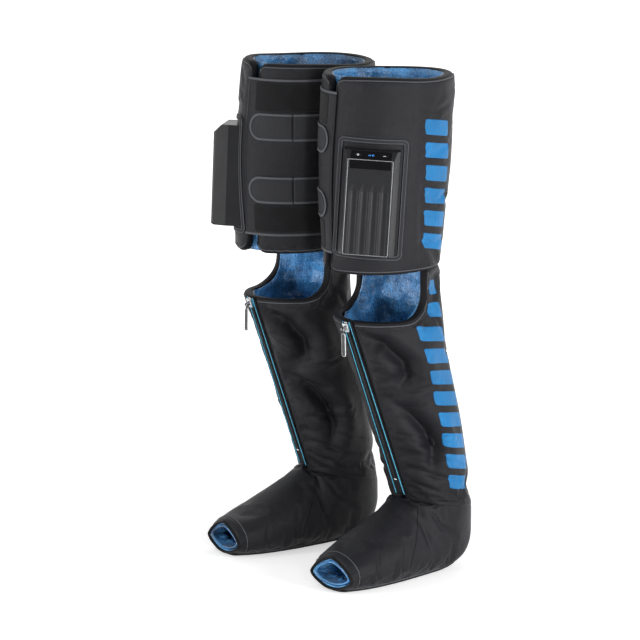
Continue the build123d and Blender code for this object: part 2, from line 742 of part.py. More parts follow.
def make_back_shell():
    """Back casing: a tray whose rear is a saddle that fits the curve of the thigh."""
    tray = pump_form(0) & depth_slab(PUMP_BEHIND, PARTING_DEPTH)
    tray -= pump_form(CASE_WALL) & depth_slab(FLOOR_DEPTH, FAR)
    for x, y in boss_places():
        shaft = Cylinder(SCREW_RADIUS + FIT_GAP, FAR / 10)
        recess = Cylinder(SCREW_HEAD_RADIUS + 0.4, FAR / 10, align=(Align.CENTER, Align.CENTER, Align.MAX))
        tray -= Pos(x, y, 0) * shaft
        tray -= Pos(x, y, SCREW_HEAD_DEPTH) * recess
    return PUMP * tray - leg_form(THIGH, -LAYER_GAP)


def make_screws():
    """Four screws that hold the two halves of the casing together."""
    length = PARTING_DEPTH + SCREW_ENGAGEMENT - SCREW_HEAD_DEPTH
    low_end = (Align.CENTER, Align.CENTER, Align.MIN)
    high_end = (Align.CENTER, Align.CENTER, Align.MAX)
    screw = Cylinder(SCREW_RADIUS, length, align=low_end)
    screw += Cylinder(SCREW_HEAD_RADIUS, SCREW_HEAD_HEIGHT, align=high_end)
    screws = [Pos(x, y, SCREW_HEAD_DEPTH) * screw for x, y in boss_places()]
    return Compound(children=[PUMP * one.solid() for one in screws])


def make_window():
    """Gloss window over the control face and the top of the front, with the button openings."""
    plate = (pump_form(0) - pump_form(WINDOW_THICKNESS)) & window_area(0)
    for cutter in button_holes():
        plate -= cutter
    return PUMP * plate


def make_button(across):
    """Press button: a cap in the window, a flange that keeps it in, and a stem to its switch."""
    flange_top = -CASE_WALL - FIT_GAP
    stem_end = -BOARD_DEPTH + SWITCH_HEIGHT + BUTTON_TRAVEL + FIT_GAP
    cap = Pos(0, 0, flange_top) * extrude(button_shape(0), BUTTON_PROUD - flange_top)
    flange = extrude(button_shape(BUTTON_FLANGE_EDGE), BUTTON_FLANGE)
    stem_length = flange_top - BUTTON_FLANGE - stem_end
    stem = Pos(0, 0, stem_end + stem_length / 2) * Box(BUTTON_STEM, BUTTON_STEM, stem_length)
    button = cap + Pos(0, 0, flange_top - BUTTON_FLANGE) * flange + stem
    return PUMP * CONTROL * Pos(across, 0, 0) * button


def make_board():
    """Circuit board behind the control face, with a switch under each button and two lamps."""
    low_end = (Align.CENTER, Align.CENTER, Align.MIN)
    board = Pos(0, 0, -BOARD_THICKNESS / 2) * Box(BOARD_LENGTH, BOARD_WIDTH, BOARD_THICKNESS)
    for across in button_places().values():
        board += Pos(across, 0, 0) * Box(SWITCH_SIZE, SWITCH_SIZE, SWITCH_HEIGHT, align=low_end)
    for side in (-1, 1):
        lamp = Box(LAMP_SIZE, LAMP_SIZE, LAMP_HEIGHT, align=low_end)
        board += Pos(side * BUTTON_SPACING / 2, BOARD_WIDTH / 3, 0) * lamp
    return PUMP * CONTROL * Pos(0, 0, -BOARD_DEPTH - FIT_GAP) * board


def make_battery():
    """Two round cells side by side in one sleeve, lying on the floor of the casing."""
    sleeve = extrude(Plane.XZ * SlotOverall(2 * CELL_DIAMETER, CELL_DIAMETER), CELL_LENGTH)
    low = -PUMP_TOP + CASE_WALL + 2 * BOSS_INSET_UP
    place = Pos(-CELL_DIAMETER - 1.0, low + CELL_LENGTH, FLOOR_DEPTH + FIT_GAP + CELL_DIAMETER / 2)
    return PUMP * place * sleeve


def make_air_pump():
    """Air pump: a round motor with a square diaphragm head and its outlet."""
    head = Pos(0, PUMP_HEAD / 2, 0) * Box(PUMP_HEAD, PUMP_HEAD, PUMP_HEAD - 3.0)
    head = chamfer(head.edges().filter_by(Axis.Y), 3.0)
    motor = Pos(0, -MOTOR_LENGTH / 2, 0) * Rot(90, 0, 0) * Cylinder(MOTOR_DIAMETER / 2, MOTOR_LENGTH)
    outlet = Pos(0, PUMP_HEAD + NOZZLE_LENGTH / 2, 0)
    outlet *= Rot(90, 0, 0) * Cylinder(NOZZLE_RADIUS, NOZZLE_LENGTH)
    low = -PUMP_TOP + CASE_WALL + 2 * BOSS_INSET_UP
    place = Pos(CELL_DIAMETER + 1.0, low + MOTOR_LENGTH, FLOOR_DEPTH + FIT_GAP + MOTOR_DIAMETER / 2)
    return PUMP * place * (head + motor + outlet)


def make_valve_block():
    """Manifold with a row of solenoid valves and the nozzles that feed the air chambers."""
    low_end = (Align.CENTER, Align.CENTER, Align.MIN)
    length, width, height = VALVE_BLOCK
    block = Box(length, width, height, align=low_end)
    pitch = length / VALVE_COUNT
    for index in range(VALVE_COUNT):
        across = (index - (VALVE_COUNT - 1) / 2) * pitch
        block += Pos(across, 0, height) * Box(VALVE_WIDTH, VALVE_WIDTH, VALVE_HEIGHT, align=low_end)
        nozzle = Rot(90, 0, 0) * Cylinder(NOZZLE_RADIUS, NOZZLE_LENGTH)
        block += Pos(across, (width + NOZZLE_LENGTH) / 2, height / 2) * nozzle
    return PUMP * Pos(0, 12.0, FLOOR_DEPTH + FIT_GAP) * block


def make_charge_port():
    """Metal sleeve of the charge port, set in the lower wall."""
    sleeve = extrude(port_shape(0), -PORT_DEPTH) - extrude(port_shape(-PORT_WALL), 1.0 - PORT_DEPTH)
    return PUMP * port_place() * Pos(0, 0, -0.4) * sleeve


def make_pocket_frame():
    """Stitched welt on the cover, round the pump."""
    inner_width = PUMP_BASE_WIDTH + 2 * FRAME_MARGIN
    inner_height = PUMP_HEIGHT + FRAME_MARGIN + FRAME_TOP_MARGIN
    middle = (FRAME_TOP_MARGIN - FRAME_MARGIN) / 2
    outer = RectangleRounded(inner_width + 2 * FRAME_WELT, inner_height + 2 * FRAME_WELT, 4.0)
    ring = Pos(0, middle) * (outer - Rectangle(inner_width, inner_height))
    reach = Pos(0, 0, -50.0) * extrude(ring, 80.0)
    return thigh_skin(LAYER_GAP, FRAME_THICKNESS) & (PUMP * reach)


# ---- The pair ----


def make_boot():
    """Every piece of one boot, by name, round its own ankle."""
    pieces = make_leg_layers()
    pieces["sole"] = make_sole()
    pieces["closure_panel"] = make_closure_panel()
    pieces["strap_upper"] = make_strap("upper")
    pieces["strap_lower"] = make_strap("lower")
    pieces["pocket_frame"] = make_pocket_frame()
    pieces["zip_tape"] = make_zip_tape()
    pieces["zip_teeth"] = make_zip_teeth()
    pieces["zip_slider"] = make_zip_slider()
    pieces["zip_pull"] = make_zip_pull()
    pieces["pump_front_shell"] = PUMP * make_front_shell()
    pieces["pump_back_shell"] = make_back_shell()
    pieces["control_window"] = make_window()
    for name, across in button_places().items():
        pieces["button_" + name] = make_button(across)
    pieces["circuit_board"] = make_board()
    pieces["battery_pack"] = make_battery()
    pieces["air_pump"] = make_air_pump()
    pieces["valve_block"] = make_valve_block()
    pieces["charge_port"] = make_charge_port()
    pieces["housing_screws"] = make_screws()
    return pieces


def main():
    """Build one boot, stand it in its place, mirror it and write every piece."""
    os.makedirs("parts", exist_ok=True)
    boot = {name: Rot(0, 0, TOE_OUT) * piece for name, piece in make_boot().items()}
    boxes = [piece.bounding_box() for piece in boot.values()]
    middle = (min(box.min.Y for box in boxes) + max(box.max.Y for box in boxes)) / 2
    stance = Pos(ANKLE_SPACING / 2, -middle, 0)
    for name, piece in boot.items():
        left = stance * piece
        export_step(left, f"parts/left_{name}.step")
        export_step(mirror(left, about=Plane.YZ), f"parts/right_{name}.step")


if __name__ == "__main__":
    main()
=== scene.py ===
"""Looks of a pair of padded leg compression boots with cordless air pumps at the thigh.

Each boot is built in its own frame, round its ankle, in metres: +Z is up, the toes point to -Y
and +X is the outer side of the leg. A stance then turns the boot out and sets it down on its
side of the pair. Angles round the leg are measured from the front, positive on the inner side.
"""

import json
import logging
import math
from dataclasses import dataclass, field, replace
from enum import Enum

import bmesh
import bpy
import numpy as np
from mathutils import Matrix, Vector

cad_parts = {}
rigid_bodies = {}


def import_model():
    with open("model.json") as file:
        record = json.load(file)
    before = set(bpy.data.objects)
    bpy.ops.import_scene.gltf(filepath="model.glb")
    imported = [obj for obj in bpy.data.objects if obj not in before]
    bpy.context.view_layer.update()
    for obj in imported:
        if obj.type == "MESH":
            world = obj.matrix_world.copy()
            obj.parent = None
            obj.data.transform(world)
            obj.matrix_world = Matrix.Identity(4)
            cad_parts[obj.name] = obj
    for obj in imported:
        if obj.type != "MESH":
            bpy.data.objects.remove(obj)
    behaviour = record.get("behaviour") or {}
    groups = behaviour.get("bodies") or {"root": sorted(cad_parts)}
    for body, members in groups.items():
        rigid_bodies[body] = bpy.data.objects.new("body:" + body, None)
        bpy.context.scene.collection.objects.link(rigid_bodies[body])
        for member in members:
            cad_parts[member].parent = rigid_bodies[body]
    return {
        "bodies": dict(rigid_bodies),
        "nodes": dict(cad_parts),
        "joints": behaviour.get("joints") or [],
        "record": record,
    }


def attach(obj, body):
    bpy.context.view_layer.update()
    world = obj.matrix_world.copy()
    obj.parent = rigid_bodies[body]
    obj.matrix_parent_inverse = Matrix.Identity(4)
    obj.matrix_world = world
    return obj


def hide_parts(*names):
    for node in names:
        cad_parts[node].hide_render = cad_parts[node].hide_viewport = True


LOG = logging.getLogger("boots")
ROOT = "boots_and_pumps"
Array = np.ndarray
Object, Material = bpy.types.Object, bpy.types.Material
Vec3 = tuple[float, float, float]
Colour = Vec3
Mesh = tuple[Array, list[tuple[int, ...]]]

KNEE_LOW, KNEE_SEAM = 0.460, 0.545  # lowest point of the knee opening, and the seam behind it
ANKLE_LINE = -0.009  # the foot's top is sewn to the calf behind this line
EDGE_INSET = 0.0046  # from a padded face in to the middle of its binding
EDGE_CORD = 0.0009
BINDING_ACROSS, BINDING_THROUGH = 0.0027, 0.0072
THREAD_RISE = 0.0002
METRES_PER_DEGREE = 0.0020  # round the thigh
BEHIND = 140  # hollows past this many degrees lie behind the leg
WAVE_SCALE = 0.314159  # scale times pitch of a wave texture


class Side(Enum):
    """Which leg a boot is for."""

    LEFT = "left"
    RIGHT = "right"


@dataclass(frozen=True)
class Stance:
    """Where one boot of the pair stands."""

    side: Side
    spacing: float = 0.268
    forward: float = 0.02263837
    toe_out: float = 5.0

    def place(self, points: Array) -> Array:
        """Points of the boot's own frame, carried to the pair's frame.

        Args:
            points: points of the boot's own frame.

        Returns:
            The same points in the pair's frame.
        """
        turn = math.radians(self.toe_out)
        flat = points.reshape(-1, 3)
        x = flat[:, 0] * math.cos(turn) - flat[:, 1] * math.sin(turn) + self.spacing / 2
        y = flat[:, 0] * math.sin(turn) + flat[:, 1] * math.cos(turn) + self.forward
        if self.side is Side.RIGHT:
            x = -x
        return points_at(x, y, flat[:, 2]).reshape(points.shape)

    def name(self, piece: str) -> str:
        """Name of a piece on this side."""
        return f"{self.side.value}_{piece}"


# ---- Points and directions ----


def points_at(x: Array, y: Array, z: Array) -> Array:
    """Points from coordinates that broadcast together."""
    return np.stack(np.broadcast_arrays(x, y, z), axis=-1)


def wrapped(angle: Array) -> Array:
    """The angle brought between -pi and pi."""
    return (angle + math.pi) % (2 * math.pi) - math.pi


def unit(vectors: Array) -> Array:
    """Directions of length one."""
    return vectors / np.maximum(np.linalg.norm(vectors, axis=-1, keepdims=True), 1e-12)


def look_up(grid: Array, row: Array, column: Array) -> Array:
    """Values of a grid between its points.

    Args:
        grid: rows by columns of values.
        row: places between the rows.
        column: places between the columns.

    Returns:
        One value for each place.
    """
    r = np.clip(row.astype(int), 0, grid.shape[0] - 2)
    c = np.clip(column.astype(int), 0, grid.shape[1] - 2)
    fr, fc = (row - r)[..., None], (column - c)[..., None]
    low = grid[r, c] * (1 - fc) + grid[r, c + 1] * fc
    high = grid[r + 1, c] * (1 - fc) + grid[r + 1, c + 1] * fc
    return low * (1 - fr) + high * fr


# ---- Forms ----


@dataclass(frozen=True)
class Oval:
    """Horizontal oval through the leg at one height."""

    height: float
    centre: float
    front: float
    back: float
    width: float


def smooth_curve(keys: Array, values: Array, at: Array) -> Array:
    """Smooth curve through key values.

    Args:
        keys: rising positions of the keys.
        values: one row of values for each key.
        at: where to read the curve.

    Returns:
        The values at each position, with one more axis than at.
    """
    keys, values, at = np.asarray(keys, float), np.asarray(values, float), np.asarray(at, float)
    steps = np.diff(values, axis=0) / np.diff(keys)[:, None]
    slopes = np.vstack([steps[:1], (steps[1:] + steps[:-1]) / 2, steps[-1:]])
    index = np.clip(np.searchsorted(keys, at) - 1, 0, len(keys) - 2)
    span = (keys[index + 1] - keys[index])[..., None]
    t = np.clip((at - keys[index])[..., None] / span, -0.3, 1.3)
    return (
        (2 * t**3 - 3 * t**2 + 1) * values[index]
        + (t**3 - 2 * t**2 + t) * slopes[index] * span
        + (3 * t**2 - 2 * t**3) * values[index + 1]
        + (t**3 - t**2) * slopes[index + 1] * span
    )


class LegForm:
    """Smooth tube through a few ovals.

    Angles round it are the ovals' own, or true ones about an upright axis where it has one.
    """

    def __init__(self, ovals: tuple[Oval, ...], axis: tuple[float, float] | None = None) -> None:
        """Keeps the ovals, lowest first.

        Args:
            ovals: the ovals, lowest first.
            axis: place of the upright axis, or None where the angles are the ovals' own.
        """
        self.keys = np.array([o.height for o in ovals])
        self.values = np.array([(o.centre, o.front, o.back, o.width) for o in ovals])
        self.axis = axis

    def shape(self, height: Array) -> tuple[Array, ...]:
        """Middle across, middle along, half width and half length at each height."""
        v = smooth_curve(self.keys, self.values, height)
        return v[..., 0], (v[..., 1] + v[..., 2]) / 2, v[..., 3] / 2, (v[..., 2] - v[..., 1]) / 2

    def point(self, angle: Array, height: Array, rise: Array = 0.0) -> Array:
        """Points on the tube.

        Args:
            angle: angle from the front, in radians, positive on the inner side.
            height: height above the floor.
            rise: distance out of the surface.

        Returns:
            An array of points with one more axis than the inputs.
        """
        angle, height, rise = np.broadcast_arrays(angle, height, rise)
        across, along, a, b = self.shape(height)
        own = angle
        if self.axis:
            for _ in range(14):
                x = across - a * np.sin(own) - self.axis[0]
                y = along - b * np.cos(own) - self.axis[1]
                gap = angle - np.arctan2(-x, -y)
                own = own + (gap + math.pi) % (2 * math.pi) - math.pi
        nx, ny = -np.sin(own) / a, -np.cos(own) / b
        length = np.hypot(nx, ny)
        x = across - a * np.sin(own) + rise * nx / length
        y = along - b * np.cos(own) + rise * ny / length
        return points_at(x, y, height)


def shin_front(height: float) -> float:
    """Front of the shin, which is straight so that the zip can run down it."""
    return -0.001 - 0.375 * (height - 0.116)


def shin_middle(height: float) -> float:
    """Middle of the shin, which leans inwards going up."""
    return -0.041 * (height - 0.116)


THIGH = LegForm(
    (
        Oval(0.545, -0.017, -0.148, 0.058, 0.180),
        Oval(0.710, -0.023, -0.149, 0.085, 0.200),
        Oval(0.875, -0.030, -0.136, 0.102, 0.202),
    ),
    axis=(-0.023, -0.032),
)
CALF = LegForm(
    tuple(
        Oval(height, shin_middle(height), shin_front(height), back, width)
        for height, back, width in (
            (0.092, 0.138, 0.122),
            (0.250, 0.111, 0.150),
            (0.400, 0.073, 0.168),
            (0.545, 0.058, 0.180),
        )
    ),
)


def smooth_step(low: float, high: float, value: Array) -> Array:
    """0 below low, 1 above high and a smooth ramp between."""
    t = np.clip((value - low) / (high - low), 0, 1)
    return t * t * (3 - 2 * t)


# ---- Relief of the padded cloth ----


@dataclass(frozen=True)
class Dent:
    """Soft hollow in the padding (a swelling where depth is negative)."""

    angle: float
    height: float
    across: float
    along: float
    depth: float

    def rise(self, angle: Array, height: Array, radius: float) -> Array:
        """How far the dent moves each point out of the surface."""
        x, z = wrapped(angle - math.radians(self.angle)) * radius, height - self.height
        return -self.depth * np.exp(-((x / self.across) ** 2) - (z / self.along) ** 2)

    def on(self, sign: int) -> "Dent":
        """The dent on the side that sign gives, or as it is behind the leg."""
        return replace(self, angle=self.angle if self.angle > BEHIND else sign * self.angle)


@dataclass(frozen=True)
class Crease:
    """Fold along a path of (angle, height) points, with a roll of cloth beside it."""

    path: tuple[tuple[float, float], ...]
    depth: float
    width: float

    def rise(self, angle: Array, height: Array, radius: float) -> Array:
        """How far the crease moves each point out of the surface.

        Args:
            angle: angle of each point.
            height: height of each point.
            radius: radius that turns angles into lengths.

        Returns:
            Rise of each point, below 0 in the fold.
        """
        best = np.full(np.shape(angle), 1e9)
        fade = np.zeros(np.shape(angle))
        count = len(self.path) - 1
        for index, (start, end) in enumerate(zip(self.path, self.path[1:])):
            middle = math.radians(start[0])
            x = wrapped(angle - middle) * radius
            z = height - start[1]
            run = np.array([math.radians(end[0] - start[0]) * radius, end[1] - start[1]])
            t = np.clip((x * run[0] + z * run[1]) / (run @ run), 0, 1)
            away = np.hypot(x - t * run[0], z - t * run[1])
            along = (index + t) / count
            nearer = away < best
            best = np.where(nearer, away, best)
            fade = np.where(nearer, np.sin(math.pi * np.clip(along, 0.04, 0.96)) ** 0.5, fade)
        fold = -np.exp(-((best / self.width) ** 2))
        roll = 0.45 * np.exp(-(((best - 2.4 * self.width) / (1.5 * self.width)) ** 2))
        return self.depth * fade * (fold + roll)

    def on(self, sign: int) -> "Crease":
        """The crease on the side that sign gives, or as it is behind the leg."""
        return replace(self, path=tuple((a if a > BEHIND else sign * a, h) for a, h in self.path))


Relief = tuple[Dent | Crease, ...]


def on_side(relief: Relief, sign: int) -> Relief:
    """The relief on one side of the leg: the inner one where sign is 1."""
    return tuple(mark.on(sign) for mark in relief)


def relief_rise(relief: Relief, angle: Array, height: Array, radius: float) -> Array:
    """Sum of a relief's dents and creases at each point."""
    return sum(mark.rise(angle, height, radius) for mark in relief)


# ---- Grids and meshes ----


def grid_faces(rows: int, columns: int) -> list[tuple[int, ...]]:
    """Quads of a grid of points stored row by row.

    Args:
        rows: number of rows.
        columns: number of columns.

    Returns:
        The corners of each quad.
    """
    return [
        (r * columns + c, (r + 1) * columns + c, (r + 1) * columns + c + 1, r * columns + c + 1)
        for r in range(rows - 1)
        for c in range(columns - 1)
    ]


def refine(grid: Array) -> Array:
    """The grid with a point added between each pair, on a smooth curve, along both axes.

    Args:
        grid: rows by columns of values.

    Returns:
        The grid with nearly twice the rows and columns.
    """
    for axis in (0, 1):
        g = np.moveaxis(grid, axis, 0)
        before = np.concatenate([2 * g[:1] - g[1:2], g[:-2]])
        after = np.concatenate([g[2:], 2 * g[-1:] - g[-2:-1]])
        middle = (9 * (g[:-1] + g[1:]) - before - after) / 16
        out = np.empty((2 * len(g) - 1, *g.shape[1:]))
        out[0::2], out[1::2] = g, middle
        grid = np.moveaxis(out, 0, axis)
    return grid


def join(parts: list[Mesh]) -> Mesh:
    """Several meshes as one.

    Args:
        parts: the points and faces of each mesh.

    Returns:
        The points and faces of all.
    """
    points, faces, base = [], [], 0
    for part_points, part_faces in parts:
        points.append(part_points)
        faces += [tuple(i + base for i in face) for face in part_faces]
        base += len(part_points)
    return np.concatenate(points), faces


def tube(
    path: Array, normals: Array, wide: float, high: float, sides: int = 8, closed: bool = False
) -> Mesh:
    """Oval tube along a path.

    Args:
        path: points of the middle line.
        normals: direction of the tube's height at each point.
        wide: half width across the path, in the surface.
        high: half height along the normals.
        sides: sides of the tube.
        closed: whether the path is a ring.

    Returns:
        Points and faces of the tube, closed at its ends.
    """
    count = len(path)
    if closed:
        ahead = np.roll(path, -1, axis=0) - np.roll(path, 1, axis=0)
    else:
        ahead = np.gradient(path, axis=0)
    ahead = unit(ahead)
    across = unit(np.cross(ahead, normals))
    up = np.cross(across, ahead)
    turns = np.arange(sides) * 2 * math.pi / sides
    ring = across[:, None] * np.cos(turns)[None, :, None] * wide
    ring = ring + up[:, None] * np.sin(turns)[None, :, None] * high
    points = path[:, None] + ring
    faces = []
    for row in range(count if closed else count - 1):
        following = (row + 1) % count
        here, there = row * sides, following * sides
        for k in range(sides):
            j = (k + 1) % sides
            faces.append((here + k, here + j, there + j, there + k))
    points = points.reshape(-1, 3)
    if not closed:
        faces.append(tuple(range(sides - 1, -1, -1)))
        faces.append(tuple((count - 1) * sides + k for k in range(sides)))
    return points, faces


def mesh_of(name: str, mesh: Mesh, mirrored: bool = False) -> bpy.types.Mesh:
    """Blender mesh with coincident points welded and faces turned out.

    Args:
        name: the mesh's name.
        mesh: its points and faces.
        mirrored: whether the points are mirrored, so that each face has to turn over.

    Returns:
        The new mesh.
    """
    points, faces = mesh
    data = bpy.data.meshes.new(name)
    data.from_pydata(points.tolist(), [], faces)
    work = bmesh.new()
    work.from_mesh(data)
    bmesh.ops.remove_doubles(work, verts=work.verts, dist=2e-5)
    bmesh.ops.dissolve_degenerate(work, edges=work.edges, dist=1e-6)
    if mirrored:
        bmesh.ops.reverse_faces(work, faces=work.faces)
    for face in work.faces:
        face.smooth = True
    work.to_mesh(data)
    work.free()
    return data


def add_object(name: str, data: bpy.types.ID) -> Object:
    """Object for a mesh, a light or a camera, in the scene.

    Args:
        name: the object's name.
        data: its mesh, light or camera.

    Returns:
        The new object.
    """
    obj = bpy.data.objects.new(name, data)
    bpy.context.scene.collection.objects.link(obj)
    return obj


def settle(obj: Object) -> Object:
    """Turns what the modifiers make into the object's own plain mesh.

    Args:
        obj: an object with modifiers.

    Returns:
        The same object.
    """
    bpy.context.view_layer.update()
    made = bpy.data.meshes.new_from_object(obj.evaluated_get(bpy.context.evaluated_depsgraph_get()))
    obj.modifiers.clear()
    old, obj.data = obj.data, made
    bpy.data.meshes.remove(old)
    obj.data.name = obj.name
    return obj


def face_outwards(obj: Object) -> None:
    """Recalculates the normals of a closed mesh.

    Args:
        obj: an object with a closed mesh.
    """
    work = bmesh.new()
    work.from_mesh(obj.data)
    bmesh.ops.recalc_face_normals(work, faces=work.faces)
    work.to_mesh(obj.data)
    work.free()


# ---- Cloth under air pressure ----


@dataclass(frozen=True)
class AirPress:
    """Blows up an open skin that is held at its pinned points, and reads how far it moved."""

    pressure: float = 4.0
    frames: int = 18
    slack: float = 0.02
    bending: float = 2.0
    cap: float = 0.006

    def run(self, grid: Array, pinned: Array) -> Array:
        """Moves of the grid's points.

        Args:
            grid: rows by columns of points.
            pinned: the same rows by columns, true where the cloth is sewn down.

        Returns:
            How far each point moves, capped.
        """
        rows, columns = grid.shape[:2]
        flat = grid.reshape(-1, 3)
        _, first, own = np.unique(np.round(flat, 6), axis=0, return_index=True, return_inverse=True)
        own = own.reshape(-1)
        faces = [tuple(dict.fromkeys(own[list(f)].tolist())) for f in grid_faces(rows, columns)]
        data = bpy.data.meshes.new("press")
        data.from_pydata(flat[first].tolist(), [], [f for f in faces if len(f) > 2])
        obj = add_object("press", data)
        group = obj.vertex_groups.new(name="sewn")
        group.add(np.unique(own[pinned.reshape(-1)]).tolist(), 1.0, "REPLACE")
        cloth = obj.modifiers.new("cloth", "CLOTH")
        settings = cloth.settings
        for key, value in {
            "quality": 5,
            "mass": 0.3,
            "tension_stiffness": 25,
            "compression_stiffness": 20,
            "shear_stiffness": 8,
            "bending_stiffness": self.bending,
            "tension_damping": 20,
            "compression_damping": 20,
            "use_pressure": True,
            "uniform_pressure_force": self.pressure,
            "shrink_min": -self.slack,
            "vertex_group_mass": "sewn",
        }.items():
            setattr(settings, key, value)
        settings.effector_weights.gravity = 0
        cloth.collision_settings.use_collision = False
        cloth.point_cache.frame_start, cloth.point_cache.frame_end = 1, self.frames
        scene = bpy.context.scene
        for frame in range(1, self.frames + 1):
            scene.frame_set(frame)
        held = obj.evaluated_get(bpy.context.evaluated_depsgraph_get()).data
        moved = np.zeros(len(held.vertices) * 3, np.float32)
        held.vertices.foreach_get("co", moved)
        moved = moved.reshape(-1, 3)[own].reshape(grid.shape) - grid
        bpy.data.objects.remove(obj)
        scene.frame_set(1)
        length = np.linalg.norm(moved, axis=-1, keepdims=True)
        return moved * np.minimum(1.0, self.cap / np.maximum(length, 1e-9))


# ---- Sewn surfaces ----


@dataclass
class Surface:
    """Finished outer face of a padded piece: a grid over (angle, share of the height)."""

    angles: Array
    low: Array
    high: Array
    grid: Array

    def at(self, angle: Array, height: Array, rise: float = 0.0) -> Array:
        """Points on the surface, rise above it, by angle in radians and height."""
        point = self._blend(angle, height)
        return point + rise * self.normal(angle, height) if rise else point

    def normal(self, angle: Array, height: Array) -> Array:
        """Outward direction of the surface.

        Args:
            angle: angle of each point.
            height: height of each point.

        Returns:
            One direction for each point.
        """
        wide, tall = 0.03, 0.004
        side = self._blend(angle + wide, height) - self._blend(angle - wide, height)
        up = self._blend(angle, height + tall) - self._blend(angle, height - tall)
        return unit(np.cross(up, side))

    def _blend(self, angle: Array, height: Array) -> Array:
        """Bilinear look-up in the grid.

        Args:
            angle: angle of each point.
            height: height of each point.

        Returns:
            The points, between those of the grid.
        """
        start = self.angles[0]
        turned = (angle - start) % (2 * math.pi) + start
        over = turned > self.angles[-1]
        near_start = over & (turned - self.angles[-1] > start + 2 * math.pi - turned)
        turned = np.where(near_start, start, np.where(over, self.angles[-1], turned))
        column = np.interp(turned, self.angles, np.arange(len(self.angles)))
        low = np.interp(turned, self.angles, self.low)
        high = np.interp(turned, self.angles, self.high)
        row = np.clip((height - low) / (high - low), 0, 1) * (len(self.grid) - 1)
        return look_up(self.grid, row, column)


def edge_distance(grid: Array, edges: list[Array]) -> Array:
    """Distance from each point of a grid to the nearest of its sewn edges.

    Args:
        grid: rows by columns of points.
        edges: points of each sewn edge.

    Returns:
        Rows by columns of distances.
    """
    line = np.concatenate([edge.reshape(-1, 3) for edge in edges])
    flat = grid.reshape(-1, 3)
    away = np.full(len(flat), 1e9)
    for chunk in np.array_split(line, max(1, len(line) // 64)):
        gaps = np.linalg.norm(flat[:, None] - chunk[None], axis=2).min(axis=1)
        away = np.minimum(away, gaps)
    return away.reshape(grid.shape[:2])


def edge_tuck(away: Array, reach: float, depth: float) -> Array:
    """How far the padding draws in within reach of a sewn edge, depth at the edge itself."""
    t = 1 - np.clip(away / reach, 0, 1)
    return -depth * (1 - np.sqrt(1 - t * t * 0.999))


def grid_normals(grid: Array) -> Array:
    """Direction out of a grid whose faces are turned out."""
    return unit(np.cross(np.gradient(grid, axis=0), np.gradient(grid, axis=1)))


# ---- Finishes ----


